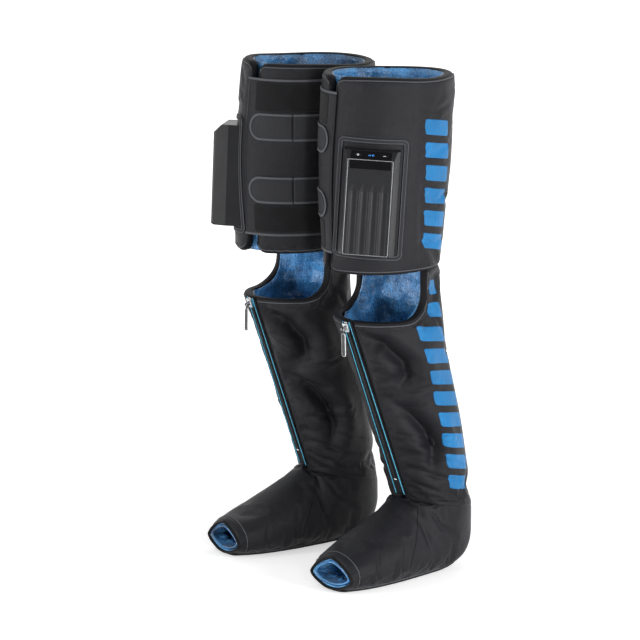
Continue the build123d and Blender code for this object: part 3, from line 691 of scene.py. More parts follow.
class Paint:
    """Node tree of one material, with short calls for what it is made of."""

    def __init__(self, name: str, colour: Colour, **sockets: float) -> None:
        """Starts from one shader.

        Args:
            name: the material's name.
            colour: base colour, used where nothing is linked to it.
            sockets: other values of the shader, with underscores for spaces.
        """
        self.material = bpy.data.materials.new(name)
        self.material.use_nodes = True
        self.colour = colour
        self.material.diffuse_color = (*colour, 1.0)
        self.tree = self.material.node_tree
        self.shader = self.tree.nodes["Principled BSDF"]
        self.shader.inputs["Base Color"].default_value = (*colour, 1.0)
        for key, value in sockets.items():
            self.shader.inputs[key.replace("_", " ")].default_value = value

    def add(
        self, kind: str, sockets: dict[object, object] | None = None, **settings: object
    ) -> bpy.types.Node:
        """New node with these properties, and these of its sockets linked or set.

        Args:
            kind: the node's type.
            sockets: what each input is linked or set to.
            settings: the node's properties.

        Returns:
            The new node.
        """
        node = self.tree.nodes.new(kind)
        for key, value in settings.items():
            setattr(node, key, value)
        for key, value in (sockets or {}).items():
            self.feed(node.inputs[key], value)
        return node

    def feed(self, socket: bpy.types.NodeSocket, value: object) -> None:
        """Links a socket into another, or sets it to a plain value.

        Args:
            socket: an input.
            value: the output to link to it, or a plain value.
        """
        if isinstance(value, bpy.types.NodeSocket):
            self.tree.links.new(value, socket)
        else:
            socket.default_value = value

    def place(self, scale: Vec3 = (1, 1, 1), turn: float = 0.0) -> object:
        """Object coordinates, stretched by scale and turned about Y by turn degrees.

        Args:
            scale: stretch along each axis.
            turn: degrees about Y.

        Returns:
            The socket of the coordinates.
        """
        where = self.add("ShaderNodeTexCoord").outputs["Object"]
        sockets = {"Vector": where, "Scale": scale, "Rotation": (0, math.radians(turn), 0)}
        return self.add("ShaderNodeMapping", sockets).outputs["Vector"]

    def noise(self, scale: float, detail: float = 3.0, where: object = None) -> object:
        """Noise from 0 to 1."""
        sockets = {"Vector": where or self.place(), "Scale": scale, "Detail": detail}
        return self.add("ShaderNodeTexNoise", sockets).outputs["Fac"]

    def bands(self, pitch: float, direction: str, waver: float = 0.0) -> object:
        """Parallel ribs, pitch metres apart."""
        sockets = {"Vector": self.place(), "Scale": WAVE_SCALE / pitch, "Distortion": waver}
        return self.add("ShaderNodeTexWave", sockets, bands_direction=direction).outputs["Fac"]

    def sum(self, operation: str, a: object, b: object) -> object:
        """Arithmetic on two values."""
        return self.add("ShaderNodeMath", {0: a, 1: b}, operation=operation).outputs[0]

    def blend(self, a: object, share: float, b: object) -> object:
        """Two values together, a by its share and b by the rest."""
        rest = self.sum("MULTIPLY", b, 1 - share)
        return self.sum("ADD", self.sum("MULTIPLY", a, share), rest)

    def ramp(self, value: object, *stops: tuple[float, float]) -> object:
        """The base colour times each stop's factor, for a value between 0 and 1.

        Args:
            value: a socket between 0 and 1.
            stops: each stop's position and factor.

        Returns:
            The socket of the colour.
        """
        node = self.add("ShaderNodeValToRGB", {"Fac": value})
        elements = node.color_ramp.elements
        while len(elements) < len(stops):
            elements.new(0.5)
        for element, (position, factor) in zip(elements, stops):
            element.position = position
            element.color = (*(min(1.0, c * factor) for c in self.colour), 1.0)
        return node.outputs["Color"]

    def span(self, value: object, low: float, high: float) -> object:
        """The value from 0 to 1 carried to low to high."""
        sockets = {"Value": value, "To Min": low, "To Max": high}
        return self.add("ShaderNodeMapRange", sockets).outputs["Result"]

    def bump(self, height: object, distance: float, under: object = None) -> object:
        """Normal with this relief, distance metres deep, on top of another.

        Args:
            height: the socket of the relief.
            distance: depth of the relief.
            under: the normal it lies on.

        Returns:
            The socket of the normal.
        """
        sockets = {"Height": height, "Distance": distance}
        if under is not None:
            sockets["Normal"] = under
        return self.add("ShaderNodeBump", sockets).outputs["Normal"]

    def finish(
        self, colour: object = None, roughness: object = None, normal: object = None
    ) -> Material:
        """Links what is given into the shader and returns the material.

        Args:
            colour: the socket of the base colour.
            roughness: the socket of the roughness.
            normal: the socket of the normal.

        Returns:
            The material.
        """
        for name, value in (("Base Color", colour), ("Roughness", roughness), ("Normal", normal)):
            if value is not None:
                self.feed(self.shader.inputs[name], value)
        return self.material


@dataclass(frozen=True)
class Finish:
    """What every finish has: its name and its base colour."""

    name: str
    colour: Colour


@dataclass(frozen=True)
class Nylon(Finish):
    """Satin woven nylon with a fine twill, soft mottling and small puckers."""

    roughness: float = 0.42
    thread: float = 0.0009
    pucker: float = 0.0009
    pucker_size: float = 0.018
    gloss: float = 0.115

    def make(self) -> Material:
        """Builds the material.

        Returns:
            The new material.
        """
        paint = Paint(self.name, self.colour, Specular_IOR_Level=self.gloss)
        mottle_and_fold_light = paint.noise(9.0, 4.0)
        slub = paint.noise(260.0, 2.0, paint.place((1, 1, 0.18)))
        colour = paint.ramp(paint.blend(mottle_and_fold_light, 0.7, slub), (0.3, 0.78), (0.52, 1.0), (0.75, 1.28))
        twill = paint.bands(self.thread, "DIAGONAL")
        weft = paint.bands(self.thread * 1.3, "Z")
        cloth = paint.bump(paint.sum("ADD", twill, weft), self.thread * 0.12)
        small = paint.bump(paint.noise(1 / self.pucker_size * 3.2, 2.0), self.pucker * 0.35, cloth)
        broad = paint.noise(1 / self.pucker_size, 2.5, paint.place((1, 1, 1.6)))
        normal = paint.bump(broad, self.pucker, small)
        rough = paint.span(paint.noise(30.0, 3.0), self.roughness - 0.06, self.roughness + 0.09)
        return paint.finish(colour, rough, normal)


@dataclass(frozen=True)
class Embossed(Finish):
    """Shiny lining cloth with slanted embossed ribs broken into short strokes, and broad soft
    patches of painted highlight and painted fold shade in its colour.
    """

    pitch: float = 0.0017
    stretch: float = 0.6
    slant: float = 32.0

    def make(self) -> Material:
        """Builds the material.

        Returns:
            The new material.
        """
        paint = Paint(
            self.name, self.colour, Sheen_Weight=0.1, Sheen_Roughness=0.35, Specular_IOR_Level=0.7
        )
        where = paint.place((1.0, 1.0, self.stretch), self.slant)
        strokes = paint.noise(1.0 / self.pitch, 1.0, where)
        relief = paint.span(strokes, -0.6, 1.6)
        # Broad noise whose colour ramp paints highlights (up to 1.9 times the base) and fold shade
        # (down to 0.2 times) on the lining; the same noise sets the roughness.
        mottle_and_fold_light = paint.noise(14.0, 3.0)
        colour = paint.ramp(paint.blend(mottle_and_fold_light, 0.8, relief), (0.40, 0.2), (0.52, 0.8), (0.68, 1.9))
        folds = paint.bump(paint.noise(22.0, 2.0), 0.016)
        normal = paint.bump(relief, 0.0005, folds)
        return paint.finish(colour, paint.span(mottle_and_fold_light, 0.25, 0.38), normal)


@dataclass(frozen=True)
class Pile(Finish):
    """Brushed loop or felted cloth: dull, with a soft nap."""

    grain: float = 900.0

    def make(self) -> Material:
        """Builds the material.

        Returns:
            The new material.
        """
        paint = Paint(
            self.name, self.colour, Sheen_Weight=0.08, Sheen_Roughness=0.6, Specular_IOR_Level=0.06
        )
        nap = paint.noise(self.grain, 3.0)
        rub = paint.noise(24.0, 3.0)
        colour = paint.ramp(paint.blend(nap, 0.6, rub), (0.35, 0.6), (0.65, 1.5))
        return paint.finish(colour, paint.span(rub, 0.82, 0.95), paint.bump(nap, 0.0008))


@dataclass(frozen=True)
class Binding(Finish):
    """Narrow woven tape or covered cord with ribs across it."""

    roughness: float = 0.55

    def make(self) -> Material:
        """Builds the material.

        Returns:
            The new material.
        """
        paint = Paint(self.name, self.colour, Specular_IOR_Level=0.08)
        ribs = paint.bands(0.0011, "DIAGONAL", 1.0)
        grain = paint.noise(420.0, 2.0)
        mixed = paint.blend(ribs, 0.5, grain)
        colour = paint.ramp(mixed, (0.2, 0.65), (0.8, 1.3))
        rough = paint.span(grain, self.roughness - 0.08, self.roughness + 0.12)
        return paint.finish(colour, rough, paint.bump(mixed, 0.00035))


@dataclass(frozen=True)
class Moulded(Finish):
    """Moulded plastic or rubber with a fine spark texture and faint wear."""

    roughness: float = 0.35
    texture: float = 0.00006
    grain: float = 1400.0
    gloss: float = 0.5

    def make(self) -> Material:
        """Builds the material.

        Returns:
            The new material.
        """
        paint = Paint(self.name, self.colour, Specular_IOR_Level=self.gloss)
        grain = paint.noise(self.grain, 2.0)
        wear = paint.noise(35.0, 4.0)
        colour = paint.ramp(wear, (0.3, 0.85), (0.75, 1.2))
        rough = paint.span(wear, max(0.03, self.roughness - 0.05), self.roughness + 0.07)
        return paint.finish(colour, rough, paint.bump(grain, self.texture))


@dataclass(frozen=True)
class Metal(Finish):
    """Polished or drawn metal with fine scratches along Z."""

    roughness: float = 0.2
    brushed: float = 0.1

    def make(self) -> Material:
        """Builds the material.

        Returns:
            The new material.
        """
        paint = Paint(self.name, self.colour, Metallic=1.0)
        scratch = paint.noise(900.0, 2.0, paint.place((1, 1, 0.06)))
        stain = paint.noise(60.0, 3.0)
        colour = paint.ramp(stain, (0.3, 0.86), (0.7, 1.05))
        rough = paint.span(scratch, self.roughness, self.roughness + self.brushed)
        return paint.finish(colour, rough, paint.bump(scratch, 0.00003))


@dataclass(frozen=True)
class Lamp(Finish):
    """Lit legend behind a gloss window."""

    strength: float = 1.0

    def make(self) -> Material:
        """Builds the material.

        Returns:
            The new material.
        """
        paint = Paint(self.name, self.colour, Roughness=0.4, Emission_Strength=self.strength)
        paint.shader.inputs["Emission Color"].default_value = (*self.colour, 1.0)
        return paint.finish(paint.ramp(paint.noise(500.0, 2.0), (0.2, 0.85), (0.8, 1.1)))


BLACK = (0.0122, 0.0123, 0.0145)
AZURE = (0.068, 0.262, 0.565)


class Wardrobe:
    """Every finish of the pair, made once and found by its name."""

    def __init__(self) -> None:
        """Makes the materials."""
        finishes = (
            Nylon("cover_nylon", BLACK),
            Nylon("strap_nylon", (0.021, 0.0213, 0.024), 0.46, pucker=0.0003, pucker_size=0.01),
            Nylon("print_blue", (0.011, 0.142, 0.345), 0.4, pucker=0.0007, gloss=0.2),
            Nylon("chamber_film", (0.45, 0.52, 0.58), 0.3, pucker=0.0006),
            Embossed("lining_azure", AZURE),
            # Brighter copy of the lining's blue: painted light on the toe's facing, which would
            # render darker inside the opening.
            Embossed("facing_azure", (0.11, 0.40, 0.82)),
            Pile("loop_pile", (0.0085, 0.0085, 0.0095)),
            Binding("rim_binding", (0.0075, 0.0075, 0.0085), 0.5),
            # Light grey cord beside the bound edges: real piping, whose light grey also paints the
            # highlight line along each binding.
            Binding("rim_cord", (0.085, 0.088, 0.095), 0.5),
            Binding("zip_cord", (0.10, 0.46, 0.66), 0.45),
            Binding("zip_tape", (0.0105, 0.0108, 0.013), 0.6),
            Binding("thread_grey", (0.036, 0.037, 0.041), 0.5),
            Binding("thread_black", (0.014, 0.014, 0.016), 0.5),
            Moulded("coil_black", (0.008, 0.008, 0.009), 0.3, gloss=0.3),
            Moulded("coil_cyan", (0.06, 0.36, 0.52), 0.35),
            Moulded("pull_rubber", (0.02, 0.02, 0.022), 0.5, 0.0001),
            Moulded("pull_edge", (0.55, 0.56, 0.58), 0.35),
            Moulded("sole_rubber", (0.007, 0.007, 0.008), 0.7, 0.0003, 500.0, gloss=0.15),
            Moulded("casing_black", (0.0065, 0.0067, 0.008), 0.3, 0.00002, gloss=0.2),
            # Light grey of the bead round the pump's front: painted highlight along the casing's
            # edges.
            Moulded("bead_satin", (0.17, 0.175, 0.185), 0.3),
            Moulded("window_gloss", (0.0025, 0.0025, 0.003), 0.12, 0.0, gloss=0.06),
            Moulded("button_gloss", (0.004, 0.004, 0.005), 0.16, 0.0, gloss=0.12),
            Moulded("board_green", (0.01, 0.11, 0.045), 0.35),
            Moulded("cell_wrap", (0.04, 0.16, 0.42), 0.3),
            Moulded("valve_nylon", (0.55, 0.54, 0.5), 0.4),
            Metal("slider_metal", (0.62, 0.63, 0.65), 0.18),
            Metal("motor_metal", (0.55, 0.55, 0.56), 0.3),
            Metal("port_metal", (0.5, 0.5, 0.51), 0.25),
            Metal("screw_steel", (0.22, 0.22, 0.23), 0.35),
            Lamp("legend_white", (0.75, 0.78, 0.8), 0.35),
            Lamp("legend_blue", (0.03, 0.3, 0.9), 0.9),
        )
        self.made = {finish.name: finish.make() for finish in finishes}

    def __getitem__(self, name: str) -> Material:
        """The material of that name."""
        return self.made[name]


# ---- What repeats along a line ----


class BeadTree:
    """Geometry Nodes tree that sets beads along runs of edges, at an even pitch.

    A bead is a rounded grain of the given half sizes, its Z laid along the run. Stitches are
    long thin beads and the teeth of a coil are short wide ones.
    """

    def __init__(self) -> None:
        """Builds the tree with its named inputs."""
        tree = bpy.data.node_groups.new("bead_run", "GeometryNodeTree")
        face = tree.interface
        kinds = {"Pitch": "Float", "Half Size": "Vector", "Material": "Material"}
        for socket, kind in {"Geometry": "Geometry", **kinds}.items():
            face.new_socket(socket, in_out="INPUT", socket_type=f"NodeSocket{kind}")
        face.new_socket("Geometry", in_out="OUTPUT", socket_type="NodeSocketGeometry")
        add = tree.nodes.new
        start, end = add("NodeGroupInput"), add("NodeGroupOutput")
        curve = add("GeometryNodeMeshToCurve")
        spread = add("GeometryNodeResampleCurve")
        spread.mode = "LENGTH"
        bead = add("GeometryNodeMeshUVSphere")
        bead.inputs["Segments"].default_value = 6
        bead.inputs["Rings"].default_value = 4
        bead.inputs["Radius"].default_value = 1.0
        tangent = add("GeometryNodeInputTangent")
        turn = add("FunctionNodeAlignRotationToVector")
        turn.axis = "Z"
        copies = add("GeometryNodeInstanceOnPoints")
        real = add("GeometryNodeRealizeInstances")
        dress = add("GeometryNodeSetMaterial")
        for source, given, target, taken in (
            (start, "Geometry", curve, "Mesh"),
            (curve, "Curve", spread, "Curve"),
            (start, "Pitch", spread, "Length"),
            (spread, "Curve", copies, "Points"),
            (bead, "Mesh", copies, "Instance"),
            (tangent, "Tangent", turn, "Vector"),
            (turn, "Rotation", copies, "Rotation"),
            (start, "Half Size", copies, "Scale"),
            (copies, "Instances", real, "Geometry"),
            (real, "Geometry", dress, "Geometry"),
            (start, "Material", dress, "Material"),
            (dress, "Geometry", end, "Geometry"),
        ):
            tree.links.new(source.outputs[given], target.inputs[taken])
        self.tree = tree
        self.inputs = {s.name: s.identifier for s in face.items_tree if s.in_out == "INPUT"}

    def run(
        self,
        name: str,
        lines: list[Array],
        pitch: float,
        half_size: Vec3,
        material: Material,
    ) -> Object:
        """Plain mesh of beads along lines.

        Args:
            name: the piece's name.
            lines: each line's points, in the pair's frame.
            pitch: distance between beads.
            half_size: half sizes of a bead across, out and along.
            material: the beads' finish.

        Returns:
            The new object.
        """
        points, edges, base = [], [], 0
        for line in lines:
            points += line.tolist()
            edges += [(base + i, base + i + 1) for i in range(len(line) - 1)]
            base += len(line)
        data = bpy.data.meshes.new(name)
        data.from_pydata(points, edges, [])
        obj = add_object(name, data)
        modifier = obj.modifiers.new("beads", "NODES")
        modifier.node_group = self.tree
        modifier[self.inputs["Pitch"]] = pitch
        modifier[self.inputs["Half Size"]] = half_size
        modifier[self.inputs["Material"]] = material
        settle(obj)
        for polygon in obj.data.polygons:
            polygon.use_smooth = True
        return obj


@dataclass
class Workshop:
    """What every sub-assembly of one boot is made with."""

    stance: Stance
    wardrobe: Wardrobe
    beads: BeadTree
    made: list[str] = field(default_factory=list)

    def piece(
        self,
        name: str,
        mesh: Mesh,
        finish: str,
        body: str = ROOT,
        stands_for: tuple[str, ...] = (),
        slot: str = "shell_fabric",
        thickness: float = 0.0,
    ) -> Object:
        """Makes one piece of the boot.

        Args:
            name: the piece's name without its side.
            mesh: points in the boot's own frame, and faces.
            finish: the material's name.
            body: the moving body it rides on, without its side, or the root.
            stands_for: CAD nodes it replaces, without their side.
            slot: the record's material slot; not used.
            thickness: wall given to an open skin, inwards.

        Returns:
            The finished object.
        """
        points, faces = mesh
        label = self.stance.name(name)
        data = mesh_of(label, (self.stance.place(points), faces), self.stance.side is Side.RIGHT)
        obj = add_object(label, data)
        if thickness:
            wall = obj.modifiers.new("wall", "SOLIDIFY")
            wall.thickness, wall.offset = thickness, -1.0
            settle(obj)
        face_outwards(obj)
        obj.data.materials.clear()
        obj.data.materials.append(self.wardrobe[finish])
        return self.attach(obj, body, stands_for)

    def attach(
        self, obj: Object, body: str, stands_for: tuple[str, ...] = ()
    ) -> Object:
        """Makes a piece ride on its body and stand for its CAD nodes, and reports it.

        Args:
            obj: the piece.
            body: the moving body it rides on, without its side, or the root.
            stands_for: CAD nodes it replaces, without their side.

        Returns:
            The same object.
        """
        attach(obj, body if body == ROOT else self.stance.name(body))
        if stands_for:
            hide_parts(*(self.stance.name(node) for node in stands_for))
        self.made.append(obj.name)
        LOG.info("%s: %d faces", obj.name, len(obj.data.polygons))
        return obj

    def stitches(
        self,
        name: str,
        lines: list[Array],
        finish: str = "thread_grey",
        body: str = ROOT,
        pitch: float = 0.0042,
        half_size: Vec3 = (0.00045, 0.00045, 0.0015),
    ) -> Object:
        """Rows of stitches or teeth along lines of the boot's own frame.

        Args:
            name: the piece's name without its side.
            lines: points of each row.
            finish: the material's name.
            body: the moving body it rides on, without its side, or the root.
            pitch: distance between stitches.
            half_size: half sizes of a stitch across, out and along.

        Returns:
            The finished object.
        """
        placed = [self.stance.place(line) for line in lines]
        label, material = self.stance.name(name), self.wardrobe[finish]
        return self.attach(self.beads.run(label, placed, pitch, half_size, material), body)

    def cover(self, part: str, mesh: Mesh) -> Object:
        """Padded cover of one part of the leg, in place of its CAD cover and chamber."""
        stands_for = (f"{part}_cover", f"{part}_chamber")
        return self.piece(f"{part}_padding", mesh, "cover_nylon", stands_for=stands_for)

    def lining(self, part: str, mesh: Mesh, thickness: float) -> Object:
        """Lining of one part of the leg, in place of its CAD lining.

        Args:
            part: part of the leg.
            mesh: points and faces of an open skin.
            thickness: wall given to the skin.

        Returns:
            The finished object.
        """
        return self.piece(
            f"{part}_lining_quilt", mesh, "lining_azure",
            stands_for=(f"{part}_lining",), slot="lining_fabric", thickness=thickness,
        )


# ---- Flat frames of the hard parts ----


@dataclass(frozen=True)
class Place:
    """Flat frame in the boot: an origin and the directions right, up and out."""

    origin: Vec3
    right: Vec3
    up: Vec3
    out: Vec3

    def carry(self, points: Array) -> Array:
        """Points given in this frame, carried to the boot's."""
        return points @ np.array([self.right, self.up, self.out]) + self.origin

    def rod(self, path: Array, wide: float, high: float, closed: bool = False) -> Mesh:
        """Tube along points given in this frame, its height turned out of it."""
        return tube(self.carry(path), np.tile(self.out, (len(path), 1)), wide, high, closed=closed)


PUMP = Place(
    (0.0373572, -0.1272645, 0.671),
    (0.754578, 0.653682, -0.057539),
    (0.024014, 0.060118, 0.997902),
    (0.65577, -0.754377, 0.029666),
)
ZIP = Place(
    (-0.013735, -0.126625, 0.451),
    (0.999264, -0.01347, 0.035919),
    (-0.038361, -0.350865, 0.93564),
    (0.0, -0.936329, -0.351123),
)
PULL = Place(
    (-0.013735, -0.1374864, 0.446927),
    (0.999264, -0.01347, 0.035919),
    (-0.035915, 0.000484, 0.999355),
    (-0.013478, -0.999909, 0.0),
)
CONTROL_HEIGHT, CONTROL_DEPTH = 0.0805, 0.027


def control_points(flat: Array) -> Array:
    """Points across, up the slope and out of the pump's control face, in the boot's frame.

    Args:
        flat: points across, up the slope and out of it.

    Returns:
        The same points in the boot's frame.
    """
    half = math.sqrt(0.5)
    across, up, out = np.moveaxis(flat, -1, 0)
    high = CONTROL_HEIGHT + half * (up + out)
    deep = CONTROL_DEPTH + half * (out - up)
    return PUMP.carry(points_at(across, high, deep))


def rounded_ring(
    half: float, low: float, high: float, radius: float, step: float, each: int = 7
) -> Array:
    """Points round a rectangle with round corners.

    Args:
        half: half width between the middles of the corners.
        low: height of the lower corners' middles.
        high: height of the upper corners' middles.
        radius: radius of the corners.
        step: length that a run is divided by.
        each: points on each corner.

    Returns:
        Rows of across and up.
    """
    points = []
    for side, level, start in ((1, low, 270), (1, high, 0), (-1, high, 90), (-1, low, 180)):
        for turn in np.radians(np.linspace(start, start + 90, each)):
            across = side * half + radius * math.cos(turn)
            points.append((across, level + radius * math.sin(turn)))
    points, full = np.array(points), []
    for point, following in zip(points, np.roll(points, -1, axis=0)):
        steps = max(1, int(np.linalg.norm(following - point) / step))
        full += [point + (following - point) * i / steps for i in range(steps)]
    return np.array(full)


# ---- Padded sleeves ----


@dataclass(frozen=True)
class Sleeve:
    """Padded tube of cloth round the leg, between a low and a high edge."""

    form: LegForm
    angles: Array
    low: Array
    high: Array
    rows: int

    def heights(self) -> Array:
        """Height of each point of the sleeve's grid."""
        share = np.linspace(0, 1, self.rows)[:, None]
        return self.low[None] + share * (self.high - self.low)[None]

    def grid(self, rise: Array = 0.0) -> Array:
        """Points of the sleeve, rise out of its form."""
        return self.form.point(self.angles[None], self.heights(), rise)

    def finer(self) -> "Sleeve":
        """The same sleeve with twice the rows and columns."""
        lines = (refine(v[None, :, None])[0, :, 0] for v in (self.angles, self.low, self.high))
        return Sleeve(self.form, *lines, 2 * self.rows - 1)

    def marks(self, relief: Relief) -> Array:
        """How far a relief moves each point of the sleeve's grid."""
        radius = float(np.mean(self.form.shape(np.array(self.heights().mean()))[2]))
        return relief_rise(relief, self.angles[None], self.heights(), radius)


@dataclass
class Padding:
    """How one sleeve is stuffed: its sewn edges, what lies flat on it, and its air press."""

    sleeve: Sleeve
    flat_areas: tuple[tuple[float, float, float, float], ...] = ()
    reach: float = 0.016
    depth: float = 0.0045
    low_depth: float = 0.0045
    deepest: float = -0.0225
    press: AirPress = field(default_factory=AirPress)
    moves: Array | None = None

    def edges(self, grid: Array) -> list[Array]:
        """The four edges of a grid, the lower one first."""
        return [grid[0], grid[-1], grid[:, 0], grid[:, -1]]

    def tuck(self, grid: Array) -> Array:
        """How far the padding draws in towards its edges.

        Args:
            grid: points of the sleeve.

        Returns:
            Rise of each point, 0 or below.
        """
        low, *others = self.edges(grid)
        sides = edge_tuck(edge_distance(grid, others), self.reach, self.depth)
        return np.minimum(sides, edge_tuck(edge_distance(grid, [low]), self.reach, self.low_depth))

    def flatness(self, sleeve: Sleeve) -> Array:
        """1 where something lies flat on the padding, easing to 0 round it.

        Areas are given by first and last angle in degrees, then lowest and highest height.

        Args:
            sleeve: the sleeve, coarse or fine.

        Returns:
            One value for each point of the sleeve's grid.
        """
        turned = (np.degrees(sleeve.angles[None]) + 180) % 360 - 180
        heights = sleeve.heights()
        most = np.zeros(heights.shape)
        for first, last, low, high in self.flat_areas:
            side = smooth_step(first - 9, first, turned) * (1 - smooth_step(last, last + 9, turned))
            tall = smooth_step(low - 0.014, low, heights)
            tall = tall * (1 - smooth_step(high, high + 0.014, heights))
            most = np.maximum(most, side * tall)
        return most

    def blow_up(self) -> None:
        """Runs the air press on the coarse sleeve."""
        grid = self.sleeve.grid(self.tuck(self.sleeve.grid()))
        pinned = self.flatness(self.sleeve) > 0.02
        pinned[[0, -1]] = True
        pinned[:, [0, -1]] = True
        self.moves = self.press.run(grid, pinned)

    def surface(self, relief: Relief, flares: Relief = ()) -> Surface:
        """Finished outer face of one boot.

        Args:
            relief: the boot's own hollows and creases, which fade out at the edges.
            flares: swellings that reach the edges.

        Returns:
            The surface.
        """
        fine = self.sleeve.finer()
        plain = fine.grid()
        away = edge_distance(plain, self.edges(plain))
        free = smooth_step(0.004, 0.022, away) * (1 - self.flatness(fine))
        rise = self.tuck(plain) + fine.marks(flares) + free * fine.marks(relief)
        grid = fine.grid(np.maximum(rise, self.deepest)) + refine(self.moves)
        return Surface(fine.angles, fine.low, fine.high, grid)

    def inner_wall(self, relief: Relief, wall: float) -> Array:
        """Inner face of the padding, pushed in where a hollow is deeper than the wall."""
        fine = self.sleeve.finer()
        return fine.grid(np.minimum(-wall, fine.marks(relief) - 0.004))


@dataclass(frozen=True)
class Skin:
    """Smooth outer face of a form, for what lies flat on it."""

    form: LegForm

    def at(self, angle: Array, height: Array, rise: float = 0.0) -> Array:
        """Points on the skin, rise above it."""
        return self.form.point(angle, height, rise)

    def normal(self, angle: Array, height: Array) -> Array:
        """Outward direction of the skin."""
        return (self.at(angle, height, 0.01) - self.at(angle, height)) / 0.01


def cord_on(
    surface: Surface | Skin, angle: Array, height: Array, rise: float, *size: float
) -> Mesh:
    """Cord along a line of a surface, its middle this far above it, of these tube sizes."""
    return tube(surface.at(angle, height, rise), surface.normal(angle, height), *size)


def edge_cord(surface: Surface, angle: Array, height: Array) -> Mesh:
    """Fine round cord along an edge."""
    return cord_on(surface, angle, height, 0.0004, EDGE_CORD, EDGE_CORD)


def quilting(angle: Array, height: Array, *turns: int) -> Array:
    """Soft folds of a lining, pressed inside the padding.

    Args:
        angle: angle round the leg.
        height: height above the floor.
        turns: folds round the leg and their slants, for two broad waves and one fine one.

    Returns:
        Rise of each point out of the form.
    """
    first, second, fine = (
        np.sin(angle * turns[i] + turns[i + 1] * height) for i in range(0, len(turns), 2)
    )
    return 0.0032 * (first * second) + 0.0005 * fine - 0.0163


def shell(uppers: list[Array], lowers: list[Array]) -> Mesh:
    """Padded wall between outer and inner grids, welded where the grids meet.

    Args:
        uppers: grids of the outer face.
        lowers: grids of the inner face, of the same shapes.

    Returns:
        The closed mesh.
    """
    points, faces = join([sleeve_mesh(grid) for grid in uppers])
    below = np.concatenate([grid.reshape(-1, 3) for grid in lowers])
    count, seen = len(points), {}
    weld = [seen.setdefault(tuple(point), i) for i, point in enumerate(np.round(points, 6) + 0.0)]
    welded = [tuple(dict.fromkeys(weld[i] for i in face)) for face in faces]
    welded = [face for face in welded if len(face) > 2]
    edges = {(a, b) for face in welded for a, b in zip(face, face[1:] + face[:1])}
    walls = [(b, a, a + count, b + count) for a, b in sorted(edges) if (b, a) not in edges]
    inside = [tuple(i + count for i in reversed(face)) for face in welded]
    used = sorted({i for face in welded for i in face})
    place = {i: n for n, i in enumerate(used)}
    place.update({i + count: n + len(used) for n, i in enumerate(used)})
    vertices = np.concatenate([points[used], below[used]])
    return vertices, [tuple(place[i] for i in face) for face in welded + inside + walls]


def sleeve_mesh(grid: Array) -> Mesh:
    """Mesh of one grid."""
    return grid.reshape(-1, 3), grid_faces(*grid.shape[:2])


# ---- Thigh cuff ----


